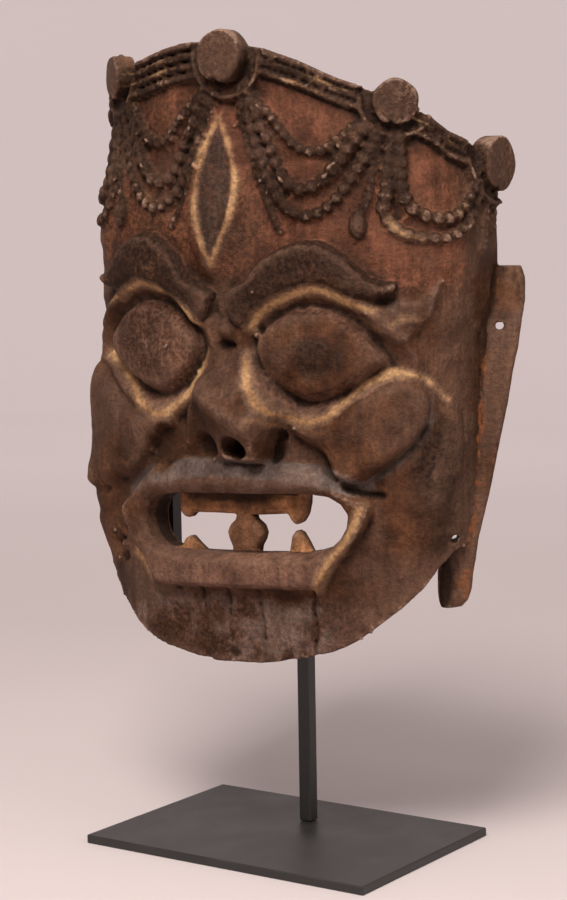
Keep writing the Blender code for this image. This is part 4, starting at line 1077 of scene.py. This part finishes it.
def mark_mask(arch, mask):
    """Work out paint, wear, painted shade and painted highlight at every point of the mask."""
    mesh = mask.data
    points = read_rows(mesh.vertices, "co", 3, np.float32).astype(float) / MM
    normals = read_rows(mesh.vertices, "normal", 3, np.float32).astype(float)
    edges = read_rows(mesh.edges, "vertices", 2, np.int32)

    x = points[:, 0] - POST_OFFSET / MM
    y = points[:, 1]
    height = points[:, 2] - CHIN_HEIGHT / MM
    up = height / UP_SCALE
    out, run = arch.nearest(x, y)
    across, edge = unrolled_front(arch)
    heights = np.arange(-6.0, GRID_HEIGHT / MM + 0.1, FRONT_STEP)
    level_across, level_up = np.meshgrid(across, heights, indexing="ij")
    below = edge - level_up
    maps = carving_maps(level_across, level_up, below)
    ground, carving = relief(level_across, level_up, below)

    # Every point of the mesh looks up its own place on the unrolled front
    column = np.clip((run / arch.arc_scale - across[0]) / FRONT_STEP, 0, across.size - 1.001)
    row = np.clip((up - heights[0]) / FRONT_STEP, 0, heights.size - 1.001)
    i, j = column.astype(int), row.astype(int)

    def sample(table):
        return between(table, i, j, column - i, row - j)

    # Bare wood inside, on the roof and at the rear; the ear's plate; and the carved front
    base = out - sample(ground) * UP_SCALE
    top = top_edge(x, y) * UP_SCALE + ROOF_SLOPE * np.minimum(out, 0.0)
    inner = ramp(-(base + WALL / MM), -2.5, -0.5)
    upper = ramp(height - top, -1.5, -0.5) * ramp(-out, 2, 5)
    rear = ramp(y - RIM_SETBACK / MM, -1.0, -0.2)
    raw = np.clip(inner + upper + rear, 0, 1)
    plate_gap = ear_distance(x, y, up)
    plate = ramp(plate_gap, 1.2, 0.2) * ramp(np.abs(x) - 112, 0, 4)
    carved = (1.0 - raw) * (1.0 - plate)
    maps = {name: sample(table) for name, table in maps.items()}
    gold = np.where(carved > 0.5, maps.pop("gold"), OFF_LINE)
    maps = {name: values * carved for name, values in maps.items()}

    bone = bone_map(x, y, up)
    discs, worn_and_lit_top = disc_maps(arch, x, y, height, normals)
    maps["dark"] = np.maximum(maps["dark"], 0.8 * discs)
    for name in ("red", "blue", "lip"):
        maps[name] = maps[name] * (1.0 - discs) * (1.0 - bone)
    maps["gold"] = np.where(discs > 0.5, OFF_LINE, gold)
    maps["bone"] = bone
    maps["raw"] = raw
    # Orange stain in the corner where the ear meets the wall
    wall_gap = out - sample(carving) * UP_SCALE
    joint = ramp(2.3 - np.abs(plate_gap), 0, 1.4) * ramp(2.3 - np.abs(wall_gap), 0, 1.4)
    maps["joint"] = joint * (np.abs(x) > 100)

    # Grime and painted shade in the hollows, the creases and deep inside the openings, rubbed edges,
    # and forms that stand proud
    bend, broad, sunk = bend_maps(points, normals, edges)
    within = -wall_gap * carved * (1.0 - bone)
    cave = np.clip(np.maximum(-broad * 6.0, (sunk - 0.9) / 3.0), -1, 1)
    # Painted shade deep inside the mouth and the other openings
    maps["cave"] = np.maximum(cave, ramp(within, 4, 11) * (height < 170))
    # Rubbed edges, and the painted highlight on the discs' upward rims
    maps["wear"] = np.clip(bend * 4.6 + 0.8 * worn_and_lit_top, -1, 1)
    maps["raised"] = np.clip(-sunk / 2.2, 0, 1)
    for name, values in maps.items():
        store(mesh, name, values)


def ear_distance(x, y, up):
    """Distance in plan from the faces of the ear's plate, at the ear's own heights."""
    gap = ear_gap(x, y, up)[0] - EAR_THICKNESS / MM / 2
    return np.where((up < EAR_UP[-1] + 1) & (up > EAR_UP[0] - 1), gap, -OFF_LINE)


class Nodes:
    """Short hand for building a material's node tree."""

    def __init__(self, name):
        self.material = bpy.data.materials.new(name)
        self.material.use_nodes = True
        self.tree = self.material.node_tree
        self.shader = self.tree.nodes["Principled BSDF"]
        self.place = self.node("TexCoord", {}).outputs["Object"]

    def put(self, socket, value):
        if isinstance(value, bpy.types.NodeSocket):
            self.tree.links.new(value, socket)
        elif isinstance(value, tuple) and len(value) == 3 and socket.type == "RGBA":
            socket.default_value = (*value, 1.0)
        else:
            socket.default_value = value

    def node(self, kind, inputs, **settings):
        node = self.tree.nodes.new("ShaderNode" + kind)
        for name, value in settings.items():
            setattr(node, name, value)
        for key, value in inputs.items():
            self.put(node.inputs[key], value)
        return node

    def surface(self, **inputs):
        for name, value in inputs.items():
            self.put(self.shader.inputs[name.replace("_", " ")], value)

    def attribute(self, name):
        return self.node("Attribute", {}, attribute_name=name).outputs["Fac"]

    def scaled(self, scale, offset=(0.0, 0.0, 0.0)):
        inputs = {"Vector": self.place, "Scale": scale, "Location": offset}
        return self.node("Mapping", inputs).outputs["Vector"]

    def noise(self, scale, detail, roughness=0.55, vector=None):
        inputs = {"Vector": vector or self.place, "Scale": scale, "Detail": detail,
                  "Roughness": roughness, "Distortion": 0.0}
        return self.node("TexNoise", inputs).outputs["Fac"]

    def cells(self, scale):
        inputs = {"Vector": self.place, "Scale": scale}
        return self.node("TexVoronoi", inputs).outputs["Distance"]

    def math(self, operation, first, second, clamp=False):
        inputs = {0: first, 1: second}
        return self.node("Math", inputs, operation=operation, use_clamp=clamp).outputs[0]

    def span(self, value, low, high, start=0.0, end=1.0):
        inputs = {"Value": value, "From Min": low, "From Max": high, "To Min": start,
                  "To Max": end}
        node = self.node("MapRange", inputs, interpolation_type="SMOOTHSTEP")
        return node.outputs["Result"]

    def mix(self, share, first, second, blend="MIX"):
        inputs = {0: share, 6: first, 7: second}
        return self.node("Mix", inputs, data_type="RGBA", blend_type=blend).outputs[2]

    def bump(self, height, strength, distance):
        inputs = {"Height": height, "Strength": strength, "Distance": distance}
        self.surface(Normal=self.node("Bump", inputs).outputs["Normal"])

    def lay(self, colour, layers, maps, textures):
        """Lay coats over a colour, each where its map says, with an edge broken up by texture."""
        for name, breakups, (low, high, strength), coat in layers:
            share = maps[name]
            for texture, *bounds in breakups:
                share = self.math("ADD", share, self.span(textures[texture], *bounds))
            if isinstance(coat[0], str):
                texture, start, end, first, second = coat
                coat = self.mix(self.span(textures[texture], start, end), first, second)
            colour = self.mix(self.span(share, low, high, 0.0, strength), colour, coat)
        return colour


# Coats over the wood, the lowest first. Each has the map that says where it lies; the textures
# that break up its edge, with the span of each and what it adds at either end; the share where
# it starts, the share where it is full, and its strength there; and its colour, or a texture,
# its span and the two colours that it runs between.
PAINTS = (
    ("red", (("fine", 0.3, 0.7, -0.25, 0.2),), (0.25, 0.8, 0.92),
     ("mottle", 0.35, 0.62, (0.070, 0.024, 0.012), (0.190, 0.070, 0.038))),
    ("blue", (("mottle", 0.35, 0.65, -0.35, 0.2),), (0.2, 0.9, 0.85),
     ("mottle", 0.35, 0.65, (0.068, 0.050, 0.047), (0.168, 0.125, 0.108))),
    # Dark paint, and painted shade where the map holds the shaded places
    ("dark", (("mottle", 0.3, 0.7, -0.3, 0.12),), (0.15, 0.7, 0.94),
     ("fine", 0.35, 0.68, (0.016, 0.0068, 0.0036), (0.041, 0.0195, 0.0112))),
    # Painted shade: a deep reddish shadow colour under the nose, on the side walls and in the left
    # cheek's groove
    ("umber", (("mottle", 0.3, 0.7, -0.3, 0.1),), (0.15, 0.75, 0.9),
     ("mottle", 0.35, 0.65, (0.022, 0.0075, 0.0030), (0.062, 0.0235, 0.0100))),
    ("lip", (("fine", 0.3, 0.7, -0.3, 0.1),), (0.2, 0.8, 0.8),
     ("mottle", 0.35, 0.65, (0.100, 0.048, 0.031), (0.225, 0.116, 0.080))),
)
WEAR_SHADE_AND_HIGHLIGHT = (
    ("joint", (("mottle", 0.38, 0.62, -1.1, 0.25),), (0.15, 0.8, 0.7), (0.25, 0.080, 0.026)),
    ("ochre", (("mottle", 0.3, 0.7, -0.5, 0.25),), (0.1, 1.0, 0.55), (0.25, 0.140, 0.082)),
    ("raised", (("patch", 0.35, 0.65, -0.3, 0.3),), (0.2, 1.1, 0.45), (0.150, 0.078, 0.050)),
    # Rubbed edges, and the painted highlight on the discs' upward rims
    ("wear", (("fine", 0.3, 0.7, -0.18, 0.12), ("mottle", 0.3, 0.7, -0.2, 0.2)),
     (0.36, 0.9, 0.75), (0.27, 0.165, 0.115)),
    # Grime with painted shade in the hollows, the creases and deep inside the openings
    ("cave", (("mottle", 0.3, 0.7, -0.12, 0.12),), (0.06, 0.5, 0.9), (0.017, 0.0078, 0.004)),
    ("pit", (), (0.15, 0.7, 0.8), (0.014, 0.007, 0.004)),
    ("gold", (("fine", 0.3, 0.7, -0.2, 0.15), ("mottle", 0.3, 0.7, -1.0, 0.9)),
     (-0.9, 1.5, 0.82), ("mottle", 0.35, 0.65, (0.26, 0.122, 0.048), (0.47, 0.270, 0.128))),
)


def wood_material():
    """Layers of worn paint, grime, painted shade and painted highlight over dark old wood."""
    n = Nodes("old_painted_wood")
    grain = n.noise(140.0, 4.0, 0.6, n.scaled((1.0, 1.0, 0.09)))
    mottle = n.noise(38.0, 4.0, 0.6)
    patch = n.noise(15.0, 3.0, 0.55, n.scaled((1, 1, 1), (3.1, 0.7, 1.9)))
    fine = n.noise(420.0, 4.0, 0.65)
    grit = n.noise(1100.0, 3.0, 0.6)
    textures = {"mottle": mottle, "patch": patch, "fine": fine}
    names = ("red", "blue", "dark", "gold", "lip", "umber", "wear", "cave", "raised", "ochre",
             "joint")
    maps = {name: n.attribute(name) for name in names}
    maps["pit"] = n.math("MULTIPLY", maps["wear"], -1.0)
    raw = n.attribute("raw")

    colour = n.mix(n.span(mottle, 0.36, 0.64), (0.034, 0.0118, 0.0046), (0.108, 0.042, 0.019))
    colour = n.mix(n.span(patch, 0.40, 0.62, 0.0, 0.55), colour, (0.150, 0.081, 0.054))
    colour = n.lay(colour, PAINTS, maps, textures)
    ivory = n.mix(n.span(patch, 0.44, 0.58), (0.17, 0.074, 0.040), (0.54, 0.240, 0.10))
    ivory = n.mix(n.span(mottle, 0.45, 0.7, 0.0, 0.6), ivory, (0.05, 0.024, 0.017))
    colour = n.mix(n.math("MULTIPLY", n.attribute("bone"), 0.9), colour, ivory)
    timber = n.mix(n.span(grain, 0.35, 0.65), (0.042, 0.018, 0.010), (0.125, 0.062, 0.036))
    colour = n.mix(raw, colour, timber)
    colour = n.mix(n.span(grain, 0.40, 0.58, 0.35, 0.0), colour, (0.03, 0.014, 0.008))
    colour = n.lay(colour, WEAR_SHADE_AND_HIGHLIGHT, maps, textures)
    dots = n.math("MULTIPLY", n.span(n.cells(330.0), 0.14, 0.05), n.span(patch, 0.45, 0.62))
    colour = n.mix(n.math("MULTIPLY", dots, 0.12), colour, (0.33, 0.22, 0.16))
    colour = n.mix(1.0, colour, n.span(fine, 0.32, 0.68, 0.74, 1.2), "MULTIPLY")

    rough = n.span(mottle, 0.3, 0.7, 0.52, 0.72)
    rough = n.math("ADD", rough, n.math("MULTIPLY", raw, 0.25))
    rough = n.math("ADD", rough, n.span(fine, 0.3, 0.7, -0.06, 0.08), clamp=True)
    n.surface(Base_Color=colour, Roughness=rough, Specular_IOR_Level=0.10)
    texture_height = n.math("MULTIPLY", fine, 0.8)
    for texture, rise in ((grit, 0.35), (grain, 0.7), (mottle, 0.9)):
        texture_height = n.math("ADD", texture_height, n.math("MULTIPLY", texture, rise))
    n.bump(texture_height, 0.85, 0.0018)
    return n.material


def steel_material():
    """Matt black paint on steel, with faint scuffs and dust."""
    n = Nodes("black_steel")
    cloud = n.noise(24.0, 4.0)
    dust = n.noise(160.0, 4.0)
    colour = n.mix(n.span(cloud, 0.35, 0.7), (0.017, 0.0155, 0.015), (0.028, 0.024, 0.022))
    colour = n.mix(n.span(dust, 0.62, 0.8, 0.0, 0.25), colour, (0.12, 0.09, 0.07))
    rough = n.span(cloud, 0.3, 0.7, 0.40, 0.52)
    n.surface(Base_Color=colour, Roughness=rough, Specular_IOR_Level=0.5)
    n.bump(n.noise(900.0, 3.0), 0.12, 0.0003)
    return n.material


def stage_material(name, colour):
    """Even, matt studio surface that glows by its own map."""
    n = Nodes(name)
    shade = tuple(value * 0.97 for value in colour)
    tone = n.mix(n.span(n.noise(1.6, 2.0), 0.3, 0.7), shade, colour)
    n.surface(Base_Color=tone, Roughness=0.9, Emission_Color=colour,
              Emission_Strength=n.attribute("glow"))
    return n.material


def build_stage():
    """A pale floor that curves up into a backdrop."""
    mesh = bpy.data.meshes.new("studio_sweep")
    shape = bmesh.new()
    profile = [(SWEEP_FRONT, 0.0), (0.0, 0.0)]
    profile += [(SWEEP_FLAT * step / SWEEP_STEPS, 0.0) for step in range(1, SWEEP_STEPS + 1)]
    for step in range(1, SWEEP_STEPS + 1):
        turn = math.pi / 2 * step / SWEEP_STEPS
        profile.append((SWEEP_FLAT + SWEEP_RADIUS * math.sin(turn),
                        SWEEP_RADIUS * (1.0 - math.cos(turn))))
    profile.append((SWEEP_FLAT + SWEEP_RADIUS, SWEEP_HEIGHT))
    rows = [[shape.verts.new((side, along, height)) for side in (-SWEEP_SIDE, SWEEP_SIDE)]
            for along, height in profile]
    for low, high in zip(rows[:-1], rows[1:]):
        shape.faces.new((low[0], low[1], high[1], high[0]))
    shape.to_mesh(mesh)
    shape.free()
    mesh.shade_smooth()
    glow = [float(np.interp(vert.co.y, SWEEP_GLOW_AT, SWEEP_GLOW)) for vert in mesh.vertices]
    store(mesh, "glow", np.array(glow))
    sweep = add_object("studio_sweep", mesh)
    sweep.rotation_euler = (0.0, 0.0, math.radians(CAMERA_AZIMUTH))
    sweep.data.materials.append(stage_material("studio_paper", PAPER))


def way_out(azimuth, elevation):
    """Way from the mask towards a place given by two angles in degrees."""
    turn, rise = math.radians(azimuth), math.radians(elevation)
    return Vector((math.sin(turn) * math.cos(rise), -math.cos(turn) * math.cos(rise),
                   math.sin(rise)))


def build_lights():
    """Large square soft lights and an even pale surround."""
    for name, angles, distance, size, power, colour in LIGHTS:
        back = way_out(*angles)
        data = bpy.data.lights.new(name, "AREA")
        data.shape = "SQUARE"
        data.size = size
        data.energy = power
        data.color = colour
        light = add_object(name, data)
        light.location = Vector(LIT_PLACE) + back * distance
        light.rotation_mode = "QUATERNION"
        light.rotation_quaternion = (-back).to_track_quat("-Z", "Y")
    world = bpy.data.worlds.new("studio")
    world.use_nodes = True
    background = world.node_tree.nodes["Background"]
    background.inputs["Color"].default_value = SURROUND
    background.inputs["Strength"].default_value = SURROUND_STRENGTH
    bpy.context.scene.world = world


def build_camera():
    """The photograph's own viewpoint."""
    turn, roll = math.radians(CAMERA_AZIMUTH), math.radians(CAMERA_ROLL)
    back = way_out(CAMERA_AZIMUTH, CAMERA_ELEVATION)
    right = Vector((math.cos(turn), math.sin(turn), 0.0))
    top = back.cross(right)
    x_axis = math.cos(roll) * right + math.sin(roll) * top
    y_axis = math.cos(roll) * top - math.sin(roll) * right
    data = bpy.data.cameras.new("photo_camera")
    data.sensor_width = SENSOR
    data.lens = PHOTO_FOCAL_PX / PHOTO_HEIGHT_PX * SENSOR
    data.clip_start = 0.05
    data.clip_end = 20.0
    camera = add_object("photo_camera", data)
    axes = Matrix((x_axis, y_axis, back)).transposed()
    camera.matrix_world = Matrix.Translation(CAMERA_PLACE) @ axes.to_4x4()
    bpy.context.scene.camera = camera


def main():
    arch = Arch()
    mask = build_fine_mask(arch)
    mark_mask(arch, mask)
    mask.data.materials.clear()
    mask.data.materials.append(wood_material())
    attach(mask, "root")
    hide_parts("mask")
    steel = steel_material()
    for name in ("stand_base", "stand_post", "stand_yoke"):
        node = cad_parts[name]
        for entry in node.material_slots:
            entry.material = steel
    build_camera()
    build_lights()
    build_stage()
    bpy.context.scene.view_settings.view_transform = "Standard"


main()
